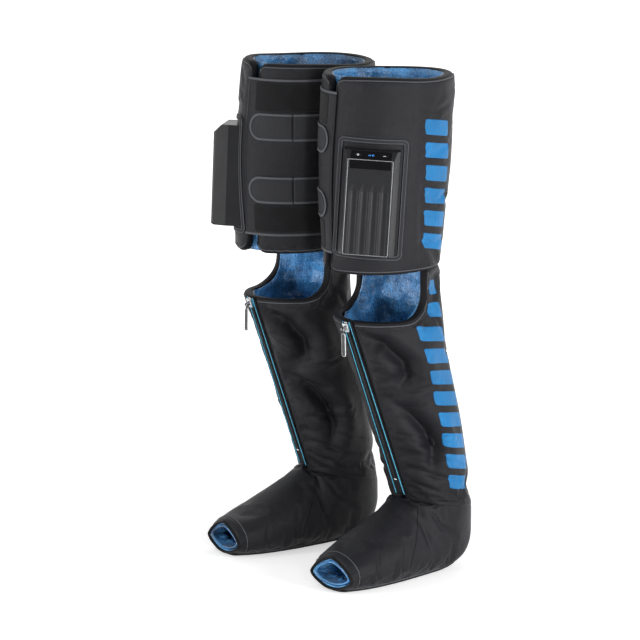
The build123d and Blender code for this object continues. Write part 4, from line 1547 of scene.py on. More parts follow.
@dataclass
class ThighCuff:
    """Padded cuff round the thigh, open at its inner front under the closure panel."""

    bottom: float = KNEE_SEAM
    top: float = 0.875
    opening: tuple[float, float] = (5.0, 15.0)
    wall: float = 0.0121
    columns: int = 104
    rows: int = 56
    knee_side: float = 108.0
    corner: float = 9.0
    padding: Padding = field(init=False)

    def __post_init__(self) -> None:
        """Lays out the sleeve."""
        angles = np.radians(np.linspace(self.opening[1], 360 + self.opening[0], self.columns))
        sleeve = Sleeve(THIGH, angles, self.hem_level(angles), self.rim_level(angles), self.rows)
        lying = ((0.0, 95.0, 0.57, 0.855), (-76.0, -3.0, 0.562, 0.785))
        self.padding = Padding(sleeve, lying)

    def corner_dip(self, angle: Array) -> Array:
        """How far the edges round off beside the opening.

        Args:
            angle: angles from the front, in radians.

        Returns:
            How far the edge lies inside its straight line.
        """
        middle = (self.opening[0] + self.opening[1]) / 2
        away = np.abs((np.degrees(angle) - middle + 180) % 360 - 180) - (self.opening[1] - middle)
        t = 1 - np.clip(away / self.corner, 0, 1)
        return self.corner * 0.00183 * (1 - np.sqrt(1 - np.minimum(t, 0.995) ** 2))

    def lining_level(self, angle: Array) -> Array:
        """Height of the lining's top, which sags a little behind."""
        sag = 0.0045 * (1 - np.cos(angle)) + 0.0012 * np.sin(3 * angle + 0.6)
        return self.top - 0.0012 - sag

    def rim_level(self, angle: Array) -> Array:
        """Height of the top rim."""
        return self.lining_level(angle) - self.corner_dip(angle)

    def hem_level(self, angle: Array) -> Array:
        """Height of the lower edge."""
        return self.bottom + self.corner_dip(angle)

    def build(self, shop: Workshop, relief: Relief) -> Surface:
        """Makes the cover, lining, bindings and stitches, and returns the outer face.

        Args:
            shop: the boot's workshop.
            relief: the boot's own hollows and creases.

        Returns:
            The outer face of the cover.
        """
        flares = (Dent(6, 0.540, 0.020, 0.022, -0.009), Dent(14, 0.880, 0.02, 0.02, -0.004))
        surface = self.padding.surface(relief, flares)
        inside = self.padding.inner_wall(relief, self.wall)
        cover = shop.cover("thigh", plate(surface.grid, inside))
        self.line_inside(shop)
        self.bind(shop, surface)
        return surface

    def line_inside(self, shop: Workshop) -> None:
        """Lining, a closed sleeve with its slit hidden under the opening.

        Args:
            shop: the boot's workshop.
        """
        angles = np.radians(np.linspace(16.4, 377.2, 96))
        low, high = np.full(len(angles), self.bottom + 0.001), self.lining_level(angles) - 0.001
        sleeve = Sleeve(THIGH, angles, low, high, 44)
        folds = quilting(angles[None], sleeve.heights(), 7, 30, 3, -24, 29, 60)
        obj = shop.lining("thigh", sleeve_mesh(sleeve.grid(folds)), 0.0022)

    def rim(
        self, surface: Surface, angle: Array, height: Array, lift: float, across: float, sides: int
    ) -> Mesh:
        """Binding along one edge of the cuff, lifted and as wide as given.

        Args:
            surface: outer face of the cuff.
            angle: angles along the edge.
            height: heights along the edge.
            lift: how far the binding is raised.
            across: half width of the binding.
            sides: sides of its tube.

        Returns:
            Points and faces of the binding.
        """
        out = Skin(THIGH).normal(angle, height)
        path = surface.at(angle, height) - out * EDGE_INSET + np.array([0, 0, lift])
        return tube(path, out, across, BINDING_THROUGH, sides)

    def bind(self, shop: Workshop, surface: Surface) -> None:
        """Bound edges all round the cuff, with a stitched line and a fine cord beside each.

        Args:
            shop: the boot's workshop.
            surface: outer face of the cuff.
        """
        start, end = self.opening[1] + 0.2, 360 + self.opening[0] - 0.2
        side = self.knee_side
        whole = np.radians(np.linspace(start, end, 140))
        halves = ((start, side), (360 - side, end))
        fronts = [np.radians(np.linspace(first, last, 40)) for first, last in halves]
        edges = [(whole, self.rim_level(whole), -0.0012)]
        edges += [(part, self.hem_level(part), 0.002) for part in fronts]
        parts = [self.rim(surface, *edge, BINDING_ACROSS, 12) for edge in edges]
        for edge in (start + 0.4, end - 0.4):
            angle = np.full(60, math.radians(edge))
            low, top = float(self.hem_level(angle)[0]), float(self.rim_level(angle)[0])
            height = np.linspace(low + 0.001, top - 0.001, 60)
            parts.append(self.rim(surface, angle, height, 0.0, 0.003, 10))
        shop.piece("thigh_binding", join(parts), "rim_binding")
        lines = [surface.at(whole, self.rim_level(whole) - 0.0085, THREAD_RISE)]
        lines += [surface.at(part, self.hem_level(part) + 0.0095, THREAD_RISE) for part in fronts]
        shop.stitches("thigh_edge_stitches", lines)
        cords = [edge_cord(surface, part, self.hem_level(part) + 0.0056) for part in fronts]
        cords.append(edge_cord(surface, whole, self.rim_level(whole) - 0.005))
        shop.piece("thigh_edge_cord", join(cords), "rim_cord")


# ---- Calf ----


def rim_height(angle: Array) -> Array:
    """Upper edge of the calf: low over the knee opening, then up to the cuff at the sides.

    Args:
        angle: angles from the front, in radians.

    Returns:
        Height of the edge at each angle.
    """
    away = np.degrees(np.abs(wrapped(angle)))
    corner, first, last, behind, most = 0.055, 63.0, 103.0, 108.5, 0.97
    s = np.clip((away - first) / (last - first), 0, most)
    turn = first + most * (last - first)
    height = KNEE_LOW + corner * (1 - np.sqrt(1 - s * s))
    rest = KNEE_SEAM - KNEE_LOW - corner * (1 - math.sqrt(1 - most**2))
    return height + rest * np.clip((away - turn) / (behind - turn), 0, 1)


def seam_height(angle: Array) -> Array:
    """Lower edge of the calf, higher in front than behind."""
    return 0.1185 + 0.0135 * np.cos(angle)


@dataclass
class Calf:
    """Padded calf between the knee opening and the ankle seam, split in front by the zip."""

    slit: float = 0.055
    wall: float = 0.0121
    columns: int = 112
    rows: int = 72
    padding: Padding = field(init=False)

    def __post_init__(self) -> None:
        """Lays out the sleeve, with more columns where its rim climbs."""
        turn = np.linspace(self.slit, 2 * math.pi - self.slit, 3000)
        away = np.degrees(np.minimum(turn, 2 * math.pi - turn))
        weight = 1 + 2.2 * np.exp(-(((away - 101) / 9) ** 2))
        share = np.concatenate([[0], np.cumsum((weight[1:] + weight[:-1]) / 2)])
        angles = np.interp(np.linspace(0, share[-1], self.columns), share, turn)
        sleeve = Sleeve(CALF, angles, seam_height(angles) - 0.003, rim_height(angles), self.rows)
        self.padding = Padding(sleeve, ((-9.0, 9.0, 0.0, 0.5),), low_depth=0.0012)

    def build(self, shop: Workshop, relief: Relief) -> Surface:
        """Makes the cover, lining, bindings and stitches, and returns the outer face.

        Args:
            shop: the boot's workshop.
            relief: the boot's own hollows and creases.

        Returns:
            The outer face of the cover.
        """
        surface = self.padding.surface(relief)
        inside = self.padding.inner_wall(relief, self.wall)
        cover = shop.cover("calf", plate(surface.grid, inside))
        self.line_inside(shop, relief)
        self.bind(shop, surface)
        return surface

    def line_inside(self, shop: Workshop, relief: Relief) -> None:
        """Lining from the knee rim to the ankle.

        Args:
            shop: the boot's workshop.
            relief: the boot's own hollows and creases.
        """
        angles = np.linspace(0.02, 2 * math.pi - 0.02, 120)
        low, high = seam_height(angles) + 0.001, rim_height(angles) - 0.001
        sleeve = Sleeve(CALF, angles, low, high, 60)
        heights = sleeve.heights()
        folds = quilting(angles[None], heights, 7, 26, 4, -30, 27, 50)
        folds = np.minimum(folds, relief_rise(relief, angles[None], heights, 0.062) - 0.0068)
        obj = shop.lining("calf", sleeve_mesh(sleeve.grid(folds)), 0.0021)

    def bind(self, shop: Workshop, surface: Surface) -> None:
        """Bound knee rim, stitched lines and the pinched seam behind the knee.

        Args:
            shop: the boot's workshop.
            surface: outer face of the calf.
        """
        angle = np.sort(wrapped(self.padding.sleeve.finer().angles))
        angle = angle[np.abs(angle) < math.radians(109.5)]
        angle = np.sort(np.concatenate([angle, np.linspace(-self.slit, self.slit, 7)[1:-1]]))
        height = rim_height(angle)
        out = Skin(CALF).normal(angle, height)
        path = surface.at(angle, height) - out * EDGE_INSET - np.array([0, 0, 0.001])
        across = (np.abs(angle) < self.slit * 1.01)[:, None]
        path = np.where(across, CALF.point(angle, height - 0.001, -BINDING_THROUGH), path)
        binding = tube(path, out, BINDING_ACROSS, BINDING_THROUGH, 12)
        shop.piece("knee_binding", binding, "rim_binding")
        outer = angle[np.abs(angle) > 0.16]
        cords, lines = [], []
        for half in (outer[outer < 0], outer[outer > 0]):
            level = rim_height(half) - 0.0056
            cords.append(edge_cord(surface, half, level))
            lines.append(surface.at(half, level - 0.0042, THREAD_RISE))
        shop.piece("knee_edge_cord", join(cords), "rim_cord")
        level = np.linspace(0.150, 0.445, 90)
        lines += [surface.at(np.full(90, side), level, THREAD_RISE) for side in (-0.205, 0.205)]
        shop.stitches("calf_stitches", lines)
        back, level = np.radians(np.linspace(108, 252, 70)), np.full(70, KNEE_SEAM)
        seam = cord_on(Skin(CALF), back, level, -0.0034, 0.0022, 0.0022)
        shop.piece("knee_seam_cord", seam, "rim_binding")


# ---- Foot ----


@dataclass
class Foot:
    """Padded foot: a round heel under the ankle seam, a crowned instep and an open toe."""

    heel_back: float = 0.1375
    heel_middle: float = 0.05
    toe: float = -0.1785
    half_width: float = 0.0615
    wall: float = 0.0101
    heel_rows: int = 13
    rows: int = 58
    columns: int = 30
    press: AirPress = field(default_factory=lambda: AirPress(cap=0.004))
    moves: list[Array] = field(default_factory=list)

    def halves(self, inset: float = 0.0, step: float = 1.0) -> list[Array]:
        """Inner and outer half of the foot.

        Args:
            inset: how far inside the outer face.
            step: 1 for the coarse grid and 0.5 for the fine one.

        Returns:
            Two grids with rows from heel to toe; the inner one's columns run from the bottom
            up to the crown and the outer one's from the crown down.
        """
        k = np.arange(0, self.rows - 1 + step / 2, step)
        reach = self.heel_back - self.heel_middle - inset
        share = (k - self.heel_rows) / (self.rows - 1 - self.heel_rows)
        turn = np.clip(k / self.heel_rows, 0, 1) * math.pi / 2
        y = np.where(
            k < self.heel_rows,
            self.heel_middle + reach * np.cos(turn),
            self.heel_middle + (self.toe - self.heel_middle) * share,
        )
        keys = (-0.18, -0.13, -0.085, -0.04, -0.008, 0.05)
        values = (
            (0.0515, 0.063, 1.4, 1.7),
            (0.0600, 0.077, 2.0, 3.2),
            (0.0620, 0.097, 2.2, 4.2),
            (0.0620, 0.118, 2.2, 4.6),
            (0.0615, 0.133, 2.3, 4.6),
            (0.0610, 0.150, 2.6, 4.6),
        )
        read = smooth_curve(keys, values, np.clip(y, -0.18, 0.05))
        wide, crown, bow, flat = (read[:, i] for i in range(4))
        wide, crown = wide - inset, crown - inset
        behind = np.clip((y - self.heel_middle) / reach, 0, 1)
        flat = flat + (2.1 - flat) * behind
        wide = np.where(
            y > self.heel_middle,
            (self.half_width - inset) * np.sqrt(np.clip(1 - behind**2.4, 0, 1)),
            wide,
        )
        places = (0.0, 0.04, 0.07, 0.09, 0.11, 0.125, 0.1385)
        levels = (0.0046, 0.006, 0.0095, 0.015, 0.026, 0.040, 0.062)
        low = np.interp(y, places, levels) + inset * 0.85
        seam = 0.132 - 0.188 * (y + 0.007)
        _, along, a, b = CALF.shape(seam)
        q = (y - along) / (b - inset)
        top_x = (a - inset) * np.sqrt(np.clip(1 - q * q, 0, 1))
        top_z = np.where(q < -1, crown, seam)
        middle = low + np.minimum(0.4 * (top_z - low), 0.05)
        t = np.linspace(0, math.pi, int(round((self.columns - 1) / step)) + 1)[None]
        upper = t <= math.pi / 2 + 1e-9
        sine, cosine = np.abs(np.sin(t)), np.abs(np.cos(t))
        bow, flat, top_x, wide = bow[:, None], flat[:, None], top_x[:, None], wide[:, None]
        x = np.where(upper, top_x + (wide - top_x) * sine ** (2 / bow), wide * sine ** (2 / flat))
        over = (top_z - middle)[:, None] * cosine ** (2 / bow)
        under = (middle - low)[:, None] * cosine ** (2 / flat)
        z = middle[:, None] + np.where(upper, over, -under)
        x[:, -1] = 0.0
        deep = np.broadcast_to(y[:, None], x.shape)
        return [points_at(-x, deep, z)[:, ::-1], points_at(x, deep, z)]

    def blow_up(self) -> None:
        """Runs the air press with the sole, toe and ankle sewn down."""
        inner, outer = self.halves()
        grid = np.concatenate([inner, outer], axis=1)
        count = self.columns
        pinned = np.zeros(grid.shape[:2], bool)
        pinned[-1] = True
        edge = int(0.2 * count)
        pinned[:, :edge] = pinned[:, -edge:] = True
        behind = grid[:, count, 1] > ANKLE_LINE
        pinned[behind, count - 1] = pinned[behind, count] = True
        moves = self.press.run(grid, pinned)
        self.moves = [moves[:, :count], moves[:, count:]]

    def build(self, shop: Workshop, relief: Relief) -> list[Array]:
        """Makes the cover, lining and trim, and returns the outer face's two halves.

        Args:
            shop: the boot's workshop.
            relief: the boot's own hollows and creases.

        Returns:
            Grids of the inner and the outer half.
        """
        finished = []
        halves = self.halves(step=0.5)
        for sign, half, moves in zip((1, -1), halves, self.moves):
            turn = np.linspace(0, math.pi, half.shape[1])
            angle = sign * (turn[::-1] if sign > 0 else turn)
            edge = half[:, -1 if sign > 0 else 0]
            seam = edge[edge[:, 1] > ANKLE_LINE]
            away, turned = edge_distance(half, [seam, half[-1]]), np.abs(angle)
            rise = edge_tuck(away, 0.010, 0.0016) * (1 - smooth_step(0.75, 0.9, turned / math.pi))
            marks = relief_rise(relief, angle[None], half[:, :1, 1], 0.055)
            free = smooth_step(0.003, 0.014, away) * (1 - smooth_step(2.3, 2.6, turned))[None]
            out = grid_normals(half)
            out[0] = (0, 1, 0)
            finished.append(half + refine(moves) + out * (rise + marks * free)[..., None])
        top = (finished[0][:, -1] + finished[1][:, 0]) / 2
        ahead = top[:, 1] <= ANKLE_LINE
        finished[0][ahead, -1] = finished[1][ahead, 0] = top[ahead]
        cover = shop.cover("foot", shell(finished, self.inner_walls(finished)))
        inside = [sleeve_mesh(half) for half in self.halves(0.0106)]
        lining = shop.lining("foot", join(inside), 0.0022)
        self.trim(shop, finished)
        return finished

    def inner_walls(self, finished: list[Array]) -> list[Array]:
        """Inner face of the padding, which thins towards the toe's edge.

        Args:
            finished: grids of the outer face's halves.

        Returns:
            Grids of the inner face's halves.
        """
        walls = self.halves(self.wall, 0.5)
        share = np.ones(len(walls[0]))
        share[-9:] = np.linspace(1, 0.3, 9)
        return [half + (wall - half) * share[:, None, None] for half, wall in zip(finished, walls)]

    def trim(self, shop: Workshop, halves: list[Array]) -> None:
        """Toe binding, folded facing, edge cord over the sole, seams and stitches.

        Args:
            shop: the boot's workshop.
            halves: grids of the outer face's halves.
        """
        inner, outer = halves
        ring = np.concatenate([inner[-1], outer[-1][1:-1]])
        middle = ring.mean(axis=0)
        out = unit((ring - middle) * (1, 0, 1))
        path = ring - out * 0.0018
        binding = tube(path + (0, 0.0012, 0), out, 0.0044, 0.0026, 14, closed=True)
        shop.piece("toe_binding", binding, "rim_binding")
        ripple = 0.0007 * np.sin(np.arange(len(path)) * 0.55)[:, None]
        facing = [
            path - out * (0.0022 + ripple * i + 0.0013 * i) + (0, 0.001 + 0.006 * i, 0)
            for i in range(6)
        ]
        grid = np.stack([np.concatenate([f, f[:1]]) for f in facing])
        back = grid - np.concatenate([out, out[:1]])[None] * 0.0016
        # The facing's brighter blue is painted light, a lit copy of the lining colour.
        shop.piece("toe_facing", plate(grid, back), "facing_azure", slot="lining_fabric")
        under = int(0.17 * inner.shape[1])
        strip = np.concatenate([outer[18:-2, -1 - under :], inner[18:-2, 1 : under + 1]], axis=1)
        down = grid_normals(strip)
        depth = 0.0006 + 0.0037 * eased(*strip.shape[:2], 0.3)
        shop.piece(
            "sole_sheet", plate(strip + down * depth, strip - down * 0.0003), "sole_rubber",
            stands_for=("sole",), slot="sole_rubber",
        )
        hem = -7
        normals = [grid_normals(half) for half in halves]
        line = np.concatenate([inner[hem], outer[hem][1:]])
        lift = np.concatenate([normals[0][hem], normals[1][hem][1:]])
        cord = tube((line + lift * THREAD_RISE)[16:-16], lift[16:-16], 0.0008, 0.0007)
        shop.piece("toe_hem_cord", cord, "rim_cord")
        cords, seams, rows = [], [], np.linspace(0.0, 1.0, 46)
        down, y = 0.16 + 0.44 * rows, -0.006 - 0.055 * rows
        for half, normal, column, share in (
            (inner, normals[0], under, 1 - down),
            (outer, normals[1], -1 - under, down),
        ):
            edge, out = half[2:-4, column], normal[2:-4, column]
            cords.append(tube(edge + out * 0.0004, out, 0.0012, 0.0012))
            row_at = (len(half) - 1) - np.interp(y, half[::-1, 0, 1], np.arange(len(half)))
            column_at = share * (half.shape[1] - 1)
            point, out = look_up(half, row_at, column_at), look_up(normal, row_at, column_at)
            seams.append(tube(point, out, 0.0007, 0.0006))
        shop.piece("sole_edge_cord", join(cords), "rim_cord")
        shop.piece("foot_seam_cord", join(seams), "rim_binding")
        shop.stitches("foot_stitches", [(line + lift * THREAD_RISE)[14:-14]])


def plate(upper: Array, lower: Array) -> Mesh:
    """Closed slab between two grids of the same shape.

    Args:
        upper: grid of the outer face.
        lower: grid of the inner face.

    Returns:
        Points and faces of the closed slab.
    """
    rows, columns = upper.shape[:2]
    count = rows * columns
    faces = grid_faces(rows, columns)
    faces += [tuple(i + count for i in reversed(face)) for face in faces]
    border = list(range(columns))
    border += [r * columns + columns - 1 for r in range(1, rows)]
    border += [(rows - 1) * columns + c for c in range(columns - 2, -1, -1)]
    border += [r * columns for r in range(rows - 2, 0, -1)]
    for i, a in enumerate(border):
        b = border[(i + 1) % len(border)]
        faces.append((a, b, b + count, a + count))
    return np.concatenate([upper.reshape(-1, 3), lower.reshape(-1, 3)]), faces


# ---- What lies on the cuff ----


def eased(rows: int, columns: int, share: float = 0.55) -> Array:
    """1 inside a grid, less on its border, so that a patch's edge looks pressed down.

    Args:
        rows: number of rows.
        columns: number of columns.
        share: factor on the border.

    Returns:
        Factors, with one more axis than the grid.
    """
    factor = np.ones((rows, columns))
    factor[[0, -1]] = factor[:, [0, -1]] = share
    return factor[..., None]


def end_spaced(count: int) -> Array:
    """Shares from 0 to 1, closer together at both ends."""
    t = np.linspace(0, 1, count)
    return 0.55 * t + 0.45 * (1 - np.cos(math.pi * t)) / 2


@dataclass(frozen=True)
class Patch:
    """Flat piece of cloth on a curved one, with round corners."""

    first: float
    last: float
    low: float
    high: float
    corner: float
    degree: float = METRES_PER_DEGREE
    slant: float = 0.0

    def outline(self, rows: int, columns: int, inset: float = 0.0) -> tuple[Array, Array]:
        """Angles in radians and heights of a grid over the patch.

        Args:
            rows: rows of the grid.
            columns: columns of the grid.
            inset: how far inside the patch's border.

        Returns:
            The angles and the heights.
        """
        v = end_spaced(rows)[:, None]
        u = end_spaced(columns)[None]
        low, high = self.low + inset, self.high - inset
        height = low + (high - low) * v
        gap = np.minimum(height - low, high - height)
        radius = max(self.corner - inset, 1e-4)
        part = np.clip(radius - gap, 0, radius)
        pulled = (radius - np.sqrt(radius**2 - part**2) + inset) / self.degree
        first, last = self.first + pulled, self.last - pulled
        angle = first + (last - first) * u
        height = height + self.slant * (angle - (self.first + self.last) / 2)
        return np.radians(angle), height

    def slab(
        self, surface: Surface | Skin, low: float, high: float, rows: int, columns: int
    ) -> Mesh:
        """The patch as a thin closed slab, between two rises above a surface.

        Args:
            surface: what the patch lies on.
            low: rise of its underside.
            high: rise of its top.
            rows: rows of its grid.
            columns: columns of its grid.

        Returns:
            Points and faces of the slab.
        """
        angle, height = self.outline(rows, columns)
        under, out = surface.at(angle, height), surface.normal(angle, height)
        top = under + out * (low + (high - low) * eased(rows, columns))
        return plate(top, under + out * low)

    def border(self, surface: Surface | Skin, rise: float, inset: float) -> Array:
        """Points round the patch's border, inset from it, a stitch or more apart.

        Args:
            surface: what the patch lies on.
            rise: distance above it.
            inset: how far inside the border.

        Returns:
            The points in order.
        """
        angle, height = (
            np.concatenate([v[0], v[1:, -1], v[-1, -2::-1], v[-2:0:-1, 0]])
            for v in self.outline(60, 40, inset)
        )
        points, keep = surface.at(angle, height, rise), [0]
        for i in range(1, len(points)):
            if np.linalg.norm(points[i] - points[keep[-1]]) > 0.0015:
                keep.append(i)
        return points[keep]


@dataclass
class Closure:
    """Panel over the cuff's opening, its loop cloth and the two peeling straps."""

    panel: Patch = Patch(2.8, 91.8, 0.5765, 0.8485, 0.010)
    loops: tuple[Patch, ...] = (
        Patch(13.0, 90.0, 0.7915, 0.843, 0.004),
        Patch(13.0, 90.0, 0.5825, 0.6315, 0.004),
    )
    strap_heights: tuple[tuple[str, float], ...] = (("upper", 0.766), ("lower", 0.657))
    strap_tip: float = 9.1
    strap_root: float = 49.8
    base: tuple[float, float] = (50.25, 88.8)
    strap_half: float = 0.0228

    def build(self, shop: Workshop) -> None:
        """Makes the panel, the sewn ends of the straps and both straps.

        Args:
            shop: the boot's workshop.
        """
        surface = Skin(THIGH)
        shop.piece(
            "closure_backing", self.panel.slab(surface, 0.0003, 0.0018, 70, 44), "cover_nylon",
            stands_for=("closure_panel",), slot="loop_fabric",
        )
        turn = np.radians(np.linspace(self.panel.first, self.panel.last, 90))
        cords = [
            self.binding(surface, turn, np.full(90, level), 0.0016)
            for level in (self.panel.low + 0.0021, self.panel.high - 0.0021)
        ]
        shop.piece("closure_edge", join(cords), "rim_cord", slot="loop_fabric")
        for index, loop in enumerate(self.loops, 1):
            cloth = loop.slab(surface, 0.0014, 0.0021, 24, 44)
            shop.piece(f"closure_loop_{index}", cloth, "loop_pile", slot="loop_fabric")
        lines = [self.panel.border(surface, 0.0021, 0.0052)]
        lines += [loop.border(surface, 0.0023, 0.002) for loop in self.loops]
        shop.stitches("closure_stitches", lines)
        slabs, cords, seams = [], [], []
        for name, height in self.strap_heights:
            low, high = height - self.strap_half, height + self.strap_half
            slabs.append(Patch(*self.base, low, high, 0.0004).slab(surface, 0.0015, 0.0042, 14, 30))
            turn = np.radians(np.linspace(*self.base, 40))
            for level, inward in ((low, 1), (high, -1)):
                flat = np.full(40, level + inward * 0.0016)
                cords.append(self.binding(surface, turn, flat, 0.0036))
                seams.append(surface.at(turn, flat + inward * 0.0036, 0.0045))
            self.strap(shop, surface, name, height)
        shop.piece("strap_bases", join(slabs), "strap_nylon", slot="strap_fabric")
        shop.piece("strap_base_edges", join(cords), "rim_cord", slot="strap_fabric")
        shop.stitches("strap_base_stitches", seams)

    def binding(self, surface: Skin, angle: Array, height: Array, rise: float) -> Mesh:
        """Flat bound edge along a line, with its middle this far above the surface."""
        return cord_on(surface, angle, height, rise, 0.0022, 0.0012, 10)

    def outline(self, height: float, inset: float) -> tuple[Array, Array]:
        """Angles and heights along a strap's edge from root to root, inset from it.

        Args:
            height: height of the strap's middle.
            inset: how far inside its edge.

        Returns:
            The angles in radians and the heights.
        """
        radius, degree = self.strap_half - inset, METRES_PER_DEGREE
        middle = self.strap_tip + self.strap_half / degree
        turn = np.linspace(-math.pi / 2, math.pi / 2, 33)
        run = np.linspace(middle + 0.8, self.strap_root - 0.3, 22)
        angle = np.concatenate([run[::-1], middle - np.cos(turn) * radius / degree, run])
        sides = np.concatenate([np.full(22, -radius), np.sin(turn) * radius, np.full(22, radius)])
        return np.radians(angle), height + sides

    def strap(self, shop: Workshop, surface: Skin, name: str, height: float) -> None:
        """One strap, with a bound edge and a sewn root, on its own body.

        Args:
            shop: the boot's workshop.
            surface: skin of the thigh.
            name: which of the two straps.
            height: height of its middle.
        """
        body = f"strap_{name}"
        radius, degree, across = self.strap_half, METRES_PER_DEGREE, 15
        near = np.concatenate([1 - np.cos(np.linspace(0, math.pi / 2, 16)), [1.25]])
        near = self.strap_tip + near * radius / degree
        angle = np.concatenate([near, np.linspace(near[-1] + 2, self.strap_root, 16)])
        away = np.clip(radius - (angle - self.strap_tip) * degree, 0, radius)
        half = np.sqrt(radius**2 - away**2)
        levels = height + np.linspace(-1, 1, across)[:, None] * np.maximum(half, 1e-5)[None]
        turns = np.radians(np.broadcast_to(angle[None], levels.shape))
        under, out = surface.at(turns, levels), surface.normal(turns, levels)
        swell = 0.0024 + 0.0016 * eased(*levels.shape, 0.6)
        shop.piece(
            f"{body}_band", plate(under + out * swell, under + out * 0.0024), "strap_nylon",
            body, (body,), "strap_fabric",
        )
        edge = self.binding(surface, *self.outline(height, 0.0016), 0.0034)
        shop.piece(f"{body}_edge", edge, "rim_cord", body, slot="strap_fabric")
        line = surface.at(*self.outline(height, 0.0052), 0.0043)
        shop.stitches(f"{body}_stitches", [line], body=body)


@dataclass
class Pocket:
    """Stitched welt on the cuff round the pump."""

    half_width: float = 0.051
    low: float = -0.0915
    high: float = 0.0975
    welt: float = 0.006
    corner: float = 0.003

    def ring(self, out: float) -> Array:
        """Rounded rectangle in the pump's frame, out beyond the welt's inner edge."""
        low, high = self.low + self.corner, self.high - self.corner
        return rounded_ring(self.half_width - self.corner, low, high, self.corner + out, 0.005, 9)

    def drop(self, flat: Array, rise: float) -> tuple[Array, Array]:
        """Points of the pump's frame dropped on to the cuff, with their outward directions.

        Args:
            flat: rows of across and up.
            rise: distance above the cuff.

        Returns:
            The points and the directions.
        """
        deep = np.zeros(len(flat))
        axis = np.array(THIGH.axis)
        for _ in range(25):
            at = PUMP.carry(np.column_stack([flat, deep]))
            radial = at[:, :2] - axis
            angle = np.arctan2(-radial[:, 0], -radial[:, 1])
            skin = THIGH.point(angle, at[:, 2])
            length = np.linalg.norm(radial, axis=1)
            gap = np.linalg.norm(skin[:, :2] - axis, axis=1) - length
            deep = deep + gap / ((radial / length[:, None]) @ np.array(PUMP.out)[:2])
        out = (THIGH.point(angle, at[:, 2], 0.01) - skin) / 0.01
        return skin + out * rise, out

    def build(self, shop: Workshop) -> None:
        """Makes the welt, its two cords and its stitches.

        Args:
            shop: the boot's workshop.
        """
        upper, lower = [], []
        for share in np.linspace(0, 1, 6):
            flat = self.ring(share * self.welt)
            flat = np.concatenate([flat, flat[:1]])
            lift = 0.0003 + 0.0019 * (0.55 + 0.45 * math.sin(math.pi * share))
            upper.append(self.drop(flat, lift)[0])
            lower.append(self.drop(flat, -0.0002)[0])
        shop.piece(
            "pocket_welt", plate(np.stack(upper), np.stack(lower)), "strap_nylon",
            stands_for=("pocket_frame",), slot="welt_fabric",
        )
        cords = []
        for out in (0.0004, self.welt - 0.0002):
            path, normal = self.drop(self.ring(out), 0.0016)
            cords.append(tube(path, normal, 0.0008, 0.0009, 8, closed=True))
        shop.piece("pocket_cord", join(cords), "rim_cord", slot="welt_fabric")
        lines = []
        for out in (self.welt / 2, self.welt + 0.0045):
            path = self.drop(self.ring(out), 0.0024 if out < self.welt else 0.0003)[0]
            lines.append(np.concatenate([path, path[:1]]))
        shop.stitches("pocket_stitches", lines)


# ---- Zip ----


@dataclass
class Zip:
    """Tape, coil and stops down the shin, and the dressing of the slider's pull."""

    top: float = 0.0096
    bottom: float = -0.330
    chain_bottom: float = -0.302
    half_tape: float = 0.0128
    tape_low: float = 0.0003
    tape_high: float = 0.0013
    pitch: float = 0.0019

    def build(self, shop: Workshop) -> None:
        """Makes every piece of the zip.

        Args:
            shop: the boot's workshop.
        """
        along = np.linspace(self.bottom, self.top, 120)[:, None]
        across = np.linspace(-self.half_tape, self.half_tape, 9)[None]
        flat = points_at(across, along, self.tape_low)
        lift = np.zeros(flat.shape)
        lift[..., 2] = (self.tape_high - self.tape_low) * eased(120, 9, 0.5)[..., 0]
        shop.piece(
            "zip_tape_cloth", plate(ZIP.carry(flat + lift), ZIP.carry(flat)), "zip_tape",
            stands_for=("zip_tape",), slot="tape_fabric",
        )
        run = np.linspace(self.bottom, self.top, 100)
        spread = np.interp(run, (self.bottom, self.top), (0.0098, 0.0078))
        chain = self.tape_high + 0.0009
        cords, lines, rows = [], [], []
        for side, shift in ((-1, 0.0), (1, self.pitch / 2)):
            cord = points_at(side * spread, run, self.tape_high + THREAD_RISE)
            cords.append(ZIP.rod(cord, 0.0008, 0.0008))
            lines.append(ZIP.carry(points_at(side * 0.0118, run, self.tape_high)))
            ends = np.array((self.chain_bottom + 0.004 + shift, self.top - 0.003 + shift))
            rows.append(ZIP.carry(points_at(side * 0.00125, ends, chain)))
        shop.piece("zip_cords", join(cords), "zip_cord", slot="tape_fabric")
        shop.stitches("zip_tape_stitches", lines, "thread_black", pitch=0.0036)
        tooth = (0.0017, 0.0009, 0.0008)
        coil = shop.stitches("zip_coil", rows, "coil_black", pitch=self.pitch, half_size=tooth)
        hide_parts(shop.stance.name("zip_teeth"))
        x = np.linspace(-0.0028, 0.0028, 7)
        stops = [
            ZIP.rod(points_at(x, level, chain), 0.0015, 0.00095)
            for level in (self.chain_bottom + 0.0015, self.top - 0.0014)
        ]
        shop.piece("zip_stops", join(stops), "slider_metal", slot="coil_nylon")
        self.dress_pull(shop)

    def dress_pull(self, shop: Workshop) -> None:
        """Light moulded edge and grip ribs on the pull.

        Args:
            shop: the boot's workshop.
        """
        half, corner, low, top = 0.004, 0.003, -0.0458, -0.0072
        ring = rounded_ring(half - corner, low + corner, top - corner, corner, 0.003)
        edge = PULL.rod(points_at(ring[:, 0], ring[:, 1], 0.0), 0.0006, 0.0011, closed=True)
        shop.piece("zip_pull_edge", edge, "pull_edge", "zip_pull", slot="pull_rubber")
        x, levels = np.linspace(-0.0021, 0.0021, 5), np.arange(-0.041, -0.021, 0.0035)
        ribs = [PULL.rod(points_at(x, level, 0.0009), 0.0007, 0.0004) for level in levels]
        shop.piece("zip_pull_ribs", join(ribs), "pull_rubber", "zip_pull", slot="pull_rubber")


# ---- Pump ----


class Legend(Enum):
    """What each button shows."""

    POWER = "power"
    MODE = "mode"
    LEVEL = "level"


